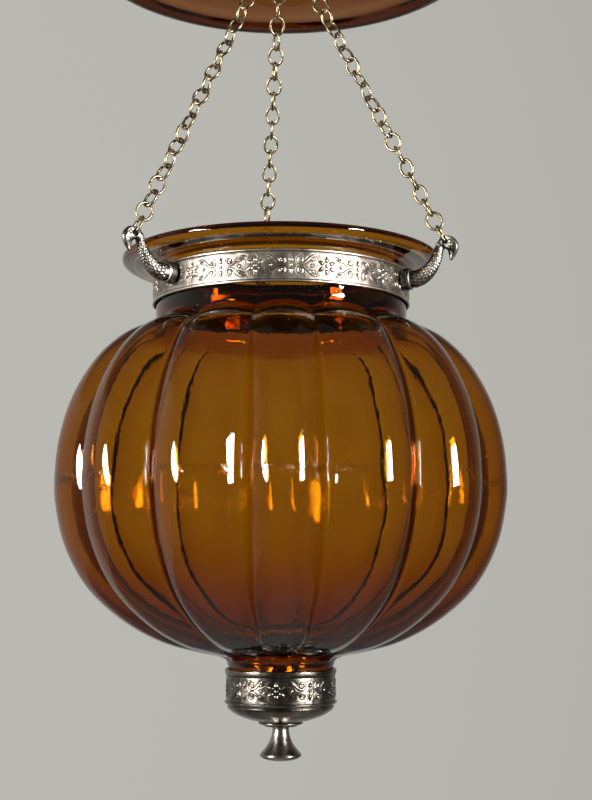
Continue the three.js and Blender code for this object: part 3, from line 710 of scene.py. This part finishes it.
def plate(x0, x1, y0, y1, z0, z1, corner, edge):
    """A flat lug with rounded corners and eased edges, standing across the strap's end."""
    outline = rounded([(x0, z0, 0.2), (x1, z0, corner), (x1, z1, corner), (x0, z1, 0.2)], corner, 6)
    centre = outline.mean(0)
    rings = []
    for y, shrink in ((y0, edge), (y0 + edge * 0.35, edge * 0.3), (y0 + edge, 0), (y1 - edge, 0), (y1 - edge * 0.35, edge * 0.3), (y1, edge)):
        d = outline - centre
        k = 1 - shrink / np.maximum(np.linalg.norm(d, axis=1), 1e-6)
        q = centre + d * k[:, None]
        rings.append(np.stack([q[:, 0], np.full(len(q), y), q[:, 1]], -1))
    v = np.stack(rings, 0)
    n, m = len(rings), len(outline)
    faces = grid_faces(n, m, False, True).tolist()
    faces += [list(range(m))[::-1], [(n - 1) * m + i for i in range(m)]]
    return v.reshape(-1, 3), faces


def about_axis(v, degrees):
    a = math.radians(degrees)
    v = np.asarray(v, float)
    return np.stack([v[:, 0] * math.cos(a) - v[:, 1] * math.sin(a), v[:, 0] * math.sin(a) + v[:, 1] * math.cos(a), v[:, 2]], -1)


strap_v, strap_faces, strap = neck_strap()
shapes = [(strap_v, turned_out(strap_v, strap_faces))]
for y0, y1 in ((-2.6, -1.2), (1.2, 2.6)):
    lug_v, lug_faces = plate(77.0, 85.4, y0, y1, DATUM + 164, DATUM + 175.6, 2.6, 0.3)
    lug_v = about_axis(lug_v, 60)
    shapes.append((lug_v, turned_out(lug_v, lug_faces)))
v, faces = joined(*shapes)
extra = np.zeros(len(v) - len(strap_v))
ob = mesh_object("stamped_neck_band", v, faces, 55, {"relief": np.concatenate([strap["relief"].ravel(), extra + 0.2]), "hollow": np.concatenate([strap["hollow"].ravel(), extra + 0.15])})
piece(ob, antique_nickel, "bowl", "antique_nickel", "neck_band")


def across_clasp(v):
    """From a shape about +Z to one along the clasp's bolt, which crosses the strap's gap."""
    v = np.asarray(v, float)
    w = np.stack([v[:, 0] + 81.6, v[:, 2], -v[:, 1] + DATUM + 169.8], -1)
    return about_axis(w, 60)


def slotted_screw():
    """A cheese-headed screw with a slot cut across its domed head and a rolled thread."""
    shank = [(0, -5.0)]
    turns, z = 0, -4.9
    prof = [(1.1, -5.0)]
    while z < 7.0:
        prof += [(1.25, z + 0.14), (1.08, z + 0.32)]
        z += 0.36
    prof += [(0.9, 7.1), (0, 7.1)]
    body_v, body_f = lathe([(0, -5.0)] + prof, 20)
    seg, rings = 48, [(0.0, -6.28), (0.6, -6.27), (1.1, -6.16), (1.6, -5.95), (2.1, -5.6), (2.5, -5.1), (2.68, -4.6), (2.6, -4.2), (2.3, -3.4), (0, -3.35)]
    dome_v, dome_f = lathe(rings, seg)
    dome = mesh_object("screw_head_work", dome_v, dome_f)
    cut_v, cut_f = plate(-4, 4, -9.0, -5.55, -0.36, 0.36, 0.05, 0.02)
    cut = mesh_object("screw_slot_work", np.stack([cut_v[:, 0], cut_v[:, 2], cut_v[:, 1]], -1), cut_f)
    applied(dome, ("BOOLEAN", {"operation": "DIFFERENCE", "object": cut, "solver": "EXACT"}))
    head_v = places_of(dome)
    head_f = [list(q.vertices) for q in dome.data.polygons]
    bpy.data.objects.remove(dome)
    bpy.data.objects.remove(cut)
    return joined((body_v, turned_out(body_v, body_f)), (head_v, turned_out(head_v, head_f)))


sv, sf = slotted_screw()
piece(mesh_object("clasp_screw", across_clasp(sv), sf, 35), steel, "bowl", "antique_nickel", "band_bolt")
nv, nf = hex_nut(5.4, 1.65, 2.95, 5.15)
piece(mesh_object("clasp_nut", across_clasp(nv), nf, 25), steel, "bowl", "antique_nickel", "band_nut")

# ---------------------------------------------------------------- arms
# (radius, height, half thickness in the arm's plane, half thickness across it)
ARM = [
    (81.2, 171.4, 5.3, 5.3), (86, 171.3, 4.95, 4.8), (90.6, 172.8, 4.5, 4.3), (94.9, 176.4, 3.9, 3.8), (98.0, 181.2, 3.3, 3.3), (99.9, 186, 2.8, 2.85),
    (101.1, 190.2, 2.5, 2.5), (102.6, 193.2, 1.9, 2.0),
]
# the head in the arm's plane: its outline, from the nape over the crown and down to the beak's tip, and its middle line
# as (radius, height, half thickness)
HEAD = [
    (99.2, 190.6), (100.2, 193.2), (101.9, 194.9), (104.4, 195.4), (107.6, 194.9), (110.2, 193.0), (111.9, 190.2), (112.1, 187.7), (111.1, 184.9), (109.5, 182.2),
    (108.0, 180.4), (106.9, 180.5), (106.3, 182.4), (106.0, 184.8), (105.4, 186.6), (104.2, 187.5), (102.7, 187.4), (101.2, 186.4), (99.4, 187.6),
]
HEAD_LINE = [(100.6, 189.6, 2.3), (103.0, 191.2, 2.5), (106.0, 191.9, 2.75), (108.4, 190.4, 2.6), (109.1, 188.0, 2.2), (108.6, 185.2, 1.7), (107.6, 182.0, 1.0)]


def swept(line, normal=(0, 1, 0), sides=40):
    """A solid of oval section along a line of (x, z, half thickness in the XZ plane, half thickness across)."""
    p = np.asarray(line, float)
    t = np.gradient(p[:, :2], axis=0)
    t /= np.linalg.norm(t, axis=1)[:, None]
    a = np.arange(sides) * TAU / sides
    n = np.stack([-t[:, 1], t[:, 0]], -1)
    x = p[:, None, 0] + n[:, None, 0] * np.cos(a) * p[:, None, 2]
    z = p[:, None, 1] + n[:, None, 1] * np.cos(a) * p[:, None, 2]
    y = np.sin(a)[None] * p[:, None, 3]
    v = np.stack([x, np.broadcast_to(y, x.shape), z], -1).reshape(-1, 3)
    faces = grid_faces(len(p), sides, False, True).tolist()
    last = (len(p) - 1) * sides
    return v, faces + [list(range(sides))[::-1], [last + i for i in range(sides)]]


def ball(centre, size, turn=0.0):
    v, f = lathe([(math.cos(x), math.sin(x)) if abs(x) < 1.57 else (0, math.copysign(1, x)) for x in np.linspace(-math.pi / 2, math.pi / 2, 13)], 20)
    v = v * size
    c, s = math.cos(turn), math.sin(turn)
    v = np.stack([v[:, 0] * c - v[:, 2] * s, v[:, 1], v[:, 0] * s + v[:, 2] * c], -1)
    return v + centre, f


def head_casting():
    """The bird's head: its outline filled to a pillow, thickest along its middle line."""
    outline = smooth_line(up(HEAD + HEAD[:1]), 0.45)[:-1]
    line = smooth_line(up(HEAD_LINE), 0.2)
    near = line[((outline[:, None] - line[None, :, :2]) ** 2).sum(-1).argmin(1)]
    rings = []
    for share in (0.06, 0.35, 0.6, 0.78, 0.9, 0.97, 1.0, 0.97, 0.9, 0.78, 0.6, 0.35, 0.06):
        side = -1 if len(rings) < 6 else (0 if len(rings) == 6 else 1)
        q = near[:, :2] + (outline - near[:, :2]) * share
        rings.append(np.stack([q[:, 0], side * near[:, 2] * (1 - share**2.6) ** 0.6, q[:, 1]], -1))
    n, m = len(rings), len(outline)
    faces = grid_faces(n, m, False, True).tolist()
    faces += [list(range(m))[::-1], [(n - 1) * m + i for i in range(m)]]
    return np.concatenate(rings), faces


def bird_arm():
    """One arm in its own plane: x is the radius from the lantern's axis, y across, z the part's height."""
    spine = smooth_line(up(ARM), 0.35)
    z = lambda e: e + DATUM
    parts = [swept(spine), head_casting()]
    for s in (1, -1):
        parts.append(ball((107.9, s * 2.15, z(191.3)), (0.95, 0.8, 0.95)))  # eyes
        brow = smooth_line([(103.2, s * 1.9, z(194.0), 0.3), (106.0, s * 2.3, z(194.0), 0.5), (108.7, s * 2.2, z(192.7), 0.55), (110.8, s * 1.4, z(190.2), 0.4)], 0.3, 3)
        parts.append(tube(brow[:, :3], brow[:, 3], (0, s, 0.3), 10))
        cheek = smooth_line([(105.6, s * 2.1, z(188.4), 0.3), (107.6, s * 2.2, z(188.0), 0.5), (108.9, s * 1.7, z(186.0), 0.4), (108.7, s * 1.1, z(183.6), 0.25)], 0.3, 3)
        parts.append(tube(cheek[:, :3], cheek[:, 3], (0, s, 0.3), 10))
    v, faces = joined(*parts)
    ob = mesh_object("arm_work", v, faces)
    applied(ob, ("REMESH", {"mode": "VOXEL", "voxel_size": 0.31 * MM, "use_smooth_shade": True}), ("SMOOTH", {"factor": 0.5, "iterations": 5}))
    cut_v, cut_f = lathe(rounded([(0, -9), (3.8, -9, 0.2), (1.6, -0.9, 1.2), (1.6, 0.9, 1.2), (3.8, 9, 0.2), (0, 9)], 0.5, 4, closed=False), 40)
    cut_v = np.stack([cut_v[:, 0] + HOLE_R, cut_v[:, 2], cut_v[:, 1] + z(HOLE_Z)], -1)
    cut = mesh_object("arm_hole_work", cut_v, cut_f)
    applied(ob, ("BOOLEAN", {"operation": "DIFFERENCE", "object": cut, "solver": "EXACT"}))
    bpy.data.objects.remove(cut)
    # scales on the neck: rows of small domes, set out along and round the spine
    v = places_of(ob)
    me = ob.data
    normals = np.zeros(len(v) * 3)
    me.vertices.foreach_get("normal", normals)
    normals = normals.reshape(-1, 3)
    step = np.linalg.norm(np.diff(spine[:, :2], axis=0), axis=1)
    along = np.concatenate([[0], np.cumsum(step)])
    t = np.gradient(spine[:, :2], axis=0)
    t /= np.linalg.norm(t, axis=1)[:, None]
    near = np.empty(len(v), int)
    for i in range(0, len(v), 4000):
        d = (v[i : i + 4000, None, 0] - spine[None, :, 0]) ** 2 + (v[i : i + 4000, None, 2] - spine[None, :, 1]) ** 2
        near[i : i + 4000] = d.argmin(1)
    rel = v[:, [0, 2]] - spine[near, :2]
    s = along[near] + (rel * t[near]).sum(1)
    side = rel[:, 0] * -t[near, 1] + rel[:, 1] * t[near, 0]
    phi = np.arctan2(v[:, 1] / spine[near, 3], side / spine[near, 2])
    thick = np.interp(s, along, spine[:, 2])
    pitch = np.interp(along, [0, along[-1]], [0, 0]) + np.clip(0.37 * spine[:, 2] + 0.3, 1.0, 2.2)
    rows = np.concatenate([[0], np.cumsum(step / ((pitch[1:] + pitch[:-1]) / 2))])
    row, around = np.interp(s, along, rows), 13
    height, edge = np.zeros(len(v)), np.full(len(v), 1.0)
    for k in (-1, 0, 1):
        i = np.round(row) + k
        col = phi / TAU * around + 0.5 * (i % 2)
        dx, dy = (col - np.round(col)) / 0.52, (row - i) / 0.62
        q = dx * dx + dy * dy
        height = np.maximum(height, np.sqrt(np.maximum(1 - q, 0)))
        edge = np.minimum(edge, np.maximum(np.sqrt(q) - 0.85, 0) / 0.3)
    of_hole = np.hypot(v[:, 0] - HOLE_R, v[:, 2] - z(HOLE_Z))
    fade = np.clip((s - 3.6) / 0.8, 0, 1) * np.clip((along[-1] - 2.2 - s) / 1.2, 0, 1) * np.clip((102.6 - v[:, 0]) / 0.8, 0, 1) * (of_hole > 2.9)
    # the head and beak have small feathers, no deeper than a chased line
    barbs = 0.5 + 0.5 * np.sin(v[:, 0] * 5.2 + v[:, 2] * 2.1) * np.sin(v[:, 2] * 4.4 - v[:, 0] * 1.3)
    on_head = np.clip((v[:, 0] - 102.6) / 1.2, 0, 1) * np.clip((v[:, 2] - z(186.5)) / 1.5, 0, 1) * (of_hole > 2.6)
    eye = np.minimum.reduce([np.linalg.norm(v - [107.9, k * 2.5, z(191.3)], axis=1) for k in (1, -1)])
    on_head = on_head * (eye > 1.6)
    out = fade * (0.30 * thick / 3.5 + 0.12) * (height - 0.35) + 0.08 * on_head * (barbs - 0.5)
    ring = np.exp(-(((eye - 1.3) / 0.25) ** 2))
    at = np.clip((v[:, 0] - 106.4) / 3.6, 0, 1)  # the mouth's line runs up from the throat
    mouth = np.exp(-(((v[:, 2] - z(185.6) - 3.0 * at) / 0.26) ** 2)) * ((v[:, 0] > 106.4) & (v[:, 0] < 110.2) & (np.abs(v[:, 1]) > 0.4))
    out = out - 0.16 * ring - 0.2 * mouth
    set_places(ob, v + normals * out[:, None])
    hollow = np.clip(fade * (1 - np.clip(height * 1.7, 0, 1)) + 0.75 * ring + mouth + 0.35 * on_head * (barbs < 0.4), 0, 1)
    inside = np.clip(1 - (of_hole - 1.8) / 0.5, 0, 1)
    hollow = np.maximum(hollow, 0.9 * inside)
    relief = np.clip(fade * np.clip((height - 0.45) * 2.0, 0, 1) + 0.45 * on_head * barbs + np.clip(1.1 - eye, 0, 1), 0, 1)
    return ob, relief, hollow


arm_ob, arm_relief, arm_hollow = bird_arm()
arm_v = places_of(arm_ob)
arm_faces = [list(q.vertices) for q in arm_ob.data.polygons]
bpy.data.objects.remove(arm_ob)
collar = rounded([(0, -2.2), (6.2, -2.2, 0.3), (6.4, -1.8, 0.3), (6.4, 1.1, 0.25), (6.05, 1.3, 0.1), (6.05, 1.45, 0.1), (6.45, 1.65, 0.25), (6.35, 2.3, 0.3), (5.6, 2.7, 0.3), (0, 2.7)], 0.3, 4, closed=False)
cv, cf = lathe(collar, 64)
cv = np.stack([cv[:, 2] + 80.75, cv[:, 1], cv[:, 0] + DATUM + 171.4], -1)  # its axis is radial
on_rim = np.clip((cv[:, 0] - 82.2) / 0.2, 0, 1)
for side, degrees in ARMS.items():
    a_v = about_axis(arm_v, degrees)
    c_v = about_axis(cv, degrees)
    v, faces = joined((a_v, turned_out(a_v, arm_faces)), (c_v, turned_out(c_v, cf)))
    none = np.zeros(len(cv))
    ob = mesh_object("bird_arm_" + side, v, faces, None, {"relief": np.concatenate([arm_relief, none + 0.2 + 0.6 * on_rim]), "hollow": np.concatenate([arm_hollow, none + 0.6 * (1 - on_rim)])})
    piece(ob, cast_nickel, "bowl", "cast_nickel", "arm_" + side)

# ---------------------------------------------------------------- bottom cup, with the same stamped strip round its wall
CUP_WALL, STRIP_LOW, STRIP_TOP = 32.1, -74.1, -59.7


def stamped_cup():
    top = rounded([(31.2, -56.3, 0.3), (31.5, -55.65, 0.3), (32.5, -55.7, 0.5), (33.0, -56.5, 0.6), (32.9, -58.0, 0.9), (32.45, -59.2, 0.3), (31.95, -59.6, 0.1)], 0.4, 5, closed=False)
    wall_h = np.linspace(STRIP_TOP, STRIP_LOW, 52)
    wall = np.stack([np.full(52, CUP_WALL), wall_h], -1)
    foot = rounded([
        (31.95, -74.15), (32.9, -74.25, 0.12), (33.1, -74.6, 0.15), (33.05, -75.4, 0.3), (32.3, -75.95, 0.2), (31.2, -76.2, 0.15), (31.1, -76.6, 0.15), (31.5, -77.3, 0.4), (31.2, -78.5, 0.8), (29.9, -79.9, 1.2),
        (27.3, -81.7, 2.0), (24.3, -83.2, 2.5), (18, -85.4, 4), (10.5, -86.5, 3), (3.0, -86.8, 0.3), (2.5, -86.5, 0.2), (2.5, -85.8, 0.2),
        (10, -85.5, 2), (17.6, -84.3, 3), (23.6, -81.8, 3), (28.2, -78.9, 2), (31.1, -75.6, 1), (31.1, -66, 0.2), (31.15, -57)], 0.4, 4, closed=False)
    profile = up(np.vstack([top, wall, foot]))
    n_top, n_wall = len(top), len(wall)
    segments = 460
    az = np.arange(segments) * TAU / segments
    u = ((np.degrees(az) - 222.5) % 72 - 36) * (TILE / 72)
    h = wall_h - (STRIP_LOW + STRIP_TOP) / 2
    U, V = np.repeat(u[:, None], n_wall, 1), np.repeat(h[None], segments, 0)
    relief, hollow = ornament(U, V * 1.02)
    ends = np.clip((7.2 - np.abs(V)) / 0.35, 0, 1)
    relief = relief * ends
    hollow = np.maximum(hollow, 1 - ends)
    worn = waves(16, 8, 30, 43)(az[:, None], V) * 0.025
    full_r = np.zeros((segments, len(profile)))
    full_r[:, n_top : n_top + n_wall] = np.minimum(relief * 0.95 + worn, 0.7)
    high, low = np.full(full_r.shape, 0.3), np.full(full_r.shape, 0.05)
    high[:, n_top : n_top + n_wall] = np.clip(relief / 0.6, 0, 1)
    low[:, n_top : n_top + n_wall] = hollow
    heights = profile[:, 1] - DATUM
    crease = np.exp(-(((heights + 76.35) / 0.3) ** 2)) + np.exp(-(((heights + 59.6) / 0.25) ** 2))
    low = np.maximum(low, np.clip(crease, 0, 1)[None] * 0.9 * (profile[:, 0] > 29)[None])
    v, faces = lathe(profile, segments, lambda r, z, a: (r + full_r, z))
    return v, faces, {"relief": high, "hollow": low}


v, faces, values = stamped_cup()
# the cup takes the darker copy of the nickel, whose darkness is painted shade
piece(mesh_object("stamped_cup", v, faces, 60, values), cup_nickel, "bowl", "antique_nickel", "bottom_cup")

step = rounded(up([(2.5, -87.1), (6.4, -87.05), (12.6, -86.75, 0.2), (13.3, -87.2, 0.3), (12.9, -87.9, 0.4), (10.4, -88.5, 0.6), (9.6, -89.3, 0.25), (2.5, -89.45, 0.2)]), 0.2)
piece(mesh_object("stepped_disc", *lathe(step, 96), 45), finial_nickel, "bowl", "antique_nickel", "finial_washer")

# finial: a turned trumpet, with fine lathe lines near its foot
FINIAL = [
    (5.0, -89.75), (4.9, -91), (5.15, -93.4), (5.95, -96.3), (7.3, -99.1), (9.2, -101.8), (10.9, -103.8), (12.0, -105.0), (12.3, -105.8),
    (11.9, -106.6), (10.6, -107.6), (8.2, -108.4), (5, -108.95), (2.5, -109.15),
]
p = smooth_line(up(FINIAL), 0.5)
p = np.vstack([up([(0, -96.4), (2.2, -96.4), (2.35, -96.2), (2.35, -90.0), (2.6, -89.75), (4.6, -89.72)]), p, up([(0, -109.2)])])
piece(mesh_object("turned_finial", *lathe(p, 128), 45), finial_nickel, "finial", "antique_nickel", "finial")

# ---------------------------------------------------------------- inside the cup and the bowl's foot
gasket = rounded(up([(25.5, -72.5), (30.5, -72.5), (30.5, -71.3), (25.5, -71.3)]), 0.35)
fuzz = waves(30, 4, 12, 51)
piece(mesh_object("felt_gasket", *lathe(gasket, 160, lambda r, h, a: (r - 0.08 * np.abs(fuzz(a, r)), h)), 60), felt, "bowl", "felt", "neck_gasket")
plate_p = rounded(up([(2.4, -74.4), (29.2, -74.4, 0.3), (30.2, -74.1, 0.3), (30.2, -72.8, 0.3), (2.4, -72.8)]), 0.25)
piece(mesh_object("plate_of_socket", *lathe(plate_p, 112), 45), brass, "bowl", "brass", "socket_plate")
socket = [(0, -67.5), (10.6, -67.5, 0.4), (11, -67.1, 0.3), (11, -50.4, 0.2), (11.3, -49.9, 0.3), (12.3, -49.7, 0.35), (12.75, -50.3, 0.3), (12.2, -51.0, 0.3), (12.2, -67.6, 1.2), (14.2, -69.5, 1.5), (20, -70.9, 0.6), (20.2, -72.2, 0.3), (19.6, -72.5, 0.2), (2.5, -72.5, 0.2), (2.5, -69.9, 0.2), (0, -69.8)]
socket_p = rounded([(r[0], r[1] + DATUM, *r[2:]) for r in socket], 0.25, 5, closed=False)
piece(mesh_object("socket_for_candle", *lathe(socket_p, 112), 40), brass, "bowl", "brass", "candle_socket")


def screw_thread(low, high, crest, root, pitch, segments=28):
    """A threaded rod about the lantern's axis, its thread a true helix that runs out at both ends."""
    count = int((high - low) / pitch * 8)
    hh = np.linspace(low, high, count)

    def move(r, h, az):
        wave = 0.5 + 0.5 * np.cos(TAU * (h - low) / pitch - az)
        ends = np.clip(np.minimum(h - low, high - h) / 0.7, 0, 1)
        return root + (crest - root) * wave * ends, h

    profile = np.vstack([[0, low - 0.01], np.stack([np.full(count, crest), hh], -1), [0, high + 0.01]])
    return lathe(profile, segments, move)


piece(mesh_object("stud", *screw_thread(DATUM - 95.99, DATUM - 70.12, 1.98, 1.62, 0.7), 80), steel, "bowl", "steel", "threaded_rod")
piece(mesh_object("nut_on_stud", *hex_nut(8, 2.35, DATUM - 78.4, DATUM - 74.7), 25), steel, "bowl", "steel", "inner_nut")

# ---------------------------------------------------------------- camera
AXIS = np.array([0.1305, 0.9914])  # the view's heading over the floor
right = np.array([AXIS[1], -AXIS[0]])
at = -AXIS * 0.8346 + right * 0.0090
camera = bpy.data.objects.new("camera", bpy.data.cameras.new("camera"))
camera.data.sensor_width, camera.data.lens = 36.0, 62.6
camera.data.clip_start, camera.data.clip_end = 0.02, 60.0
camera.location = (at[0], at[1], -0.485)
aim = Vector((AXIS[0] * math.cos(math.radians(7.08)), AXIS[1] * math.cos(math.radians(7.08)), math.sin(math.radians(7.08))))
camera.rotation_mode = "QUATERNION"
camera.rotation_quaternion = aim.to_track_quat("-Z", "Y")
scene.collection.objects.link(camera)
scene.camera = camera


# ---------------------------------------------------------------- floor and light
def plain(name, colour):
    m = Nodes(name)
    shade = m.mix(m.noise(3.0, 2.0), tuple(c * 0.97 for c in colour), colour)
    return m.set(Base_Color=shade, Roughness=0.9)


fv, ff = lathe([(0, -2000), (400, -2000), (1500, -2000), (2600, -2000), (2600, -2010), (0, -2010)], 96)
floor = mesh_object("floor", fv, ff, 40)
floor.data.materials.append(plain("pale_floor", (0.6, 0.59, 0.565)))


def softbox(name, azimuth, elevation, distance, width, height, power, roll):
    """A soft light turned to the bowl. azimuth is from the camera's side of the lantern, to the right."""
    a = math.atan2(-AXIS[1], -AXIS[0]) + math.radians(azimuth)
    e = math.radians(elevation)
    heart = Vector((0, 0, -0.43))
    way = Vector((math.cos(a) * math.cos(e), math.sin(a) * math.cos(e), math.sin(e)))
    data = bpy.data.lights.new(name, "AREA")
    data.shape, data.size, data.size_y, data.energy = "RECTANGLE", width, height, power
    data.color = (1.0, 0.985, 0.96)
    data.spread = math.radians(60)
    light = bpy.data.objects.new(name, data)
    light.location = heart + way * distance
    light.rotation_mode = "QUATERNION"
    light.rotation_quaternion = (-way).to_track_quat("-Z", "Y") @ Quaternion((0, 0, 1), math.radians(roll))
    light.visible_camera = False
    scene.collection.objects.link(light)
    return light


softbox("soft_left", -58, 5.8, 3.6, 0.4, 1.1, 27, 54)
softbox("soft_right", 53, 6.5, 3.6, 0.72, 0.92, 34, 10)

# the room: pale behind the lantern and to its left, dim on the camera's side of it and overhead
world = bpy.data.worlds.new("room")
scene.world = world
world.use_nodes = True
wt = world.node_tree
wt.nodes.clear()
w_out, w_bg = wt.nodes.new("ShaderNodeOutputWorld"), wt.nodes.new("ShaderNodeBackground")
wt.links.new(w_bg.outputs[0], w_out.inputs[0])
w_at, w_dot = wt.nodes.new("ShaderNodeTexCoord"), wt.nodes.new("ShaderNodeVectorMath")
w_dot.operation = "DOT_PRODUCT"
wt.links.new(w_at.outputs["Generated"], w_dot.inputs[0])
pale = Vector((math.cos(math.radians(112)), math.sin(math.radians(112)), 0.06)).normalized()
w_dot.inputs[1].default_value = pale
w_map, w_mix = wt.nodes.new("ShaderNodeMapRange"), wt.nodes.new("ShaderNodeMix")
w_map.interpolation_type = "SMOOTHSTEP"
w_map.inputs["From Min"].default_value, w_map.inputs["From Max"].default_value = -0.25, 1.0
wt.links.new(w_dot.outputs["Value"], w_map.inputs["Value"])
w_mix.data_type = "RGBA"
wt.links.new(w_map.outputs["Result"], w_mix.inputs[0])
w_mix.inputs[6].default_value = (0.085, 0.082, 0.076, 1)
w_mix.inputs[7].default_value = (0.488, 0.486, 0.448, 1)
w_split, w_high, w_top = wt.nodes.new("ShaderNodeSeparateXYZ"), wt.nodes.new("ShaderNodeMapRange"), wt.nodes.new("ShaderNodeMix")
wt.links.new(w_at.outputs["Generated"], w_split.inputs[0])
wt.links.new(w_split.outputs["Z"], w_high.inputs["Value"])
w_high.interpolation_type = "SMOOTHSTEP"
w_high.inputs["From Min"].default_value, w_high.inputs["From Max"].default_value = 0.43, 0.55
w_top.data_type = "RGBA"
wt.links.new(w_high.outputs["Result"], w_top.inputs[0])
wt.links.new(w_mix.outputs[2], w_top.inputs[6])
w_top.inputs[7].default_value = (0.115, 0.108, 0.096, 1)
wt.links.new(w_top.outputs[2], w_bg.inputs["Color"])

scene.view_settings.view_transform = "Standard"
scene.cycles.max_bounces = 28
scene.cycles.transmission_bounces = 24
scene.cycles.glossy_bounces = 8
scene.cycles.diffuse_bounces = 4
scene.cycles.volume_bounces = 0
scene.cycles.caustics_reflective = True
scene.cycles.caustics_refractive = True
scene.cycles.blur_glossy = 0.0
scene.cycles.sample_clamp_indirect = 20.0
scene.cycles.use_denoising = True
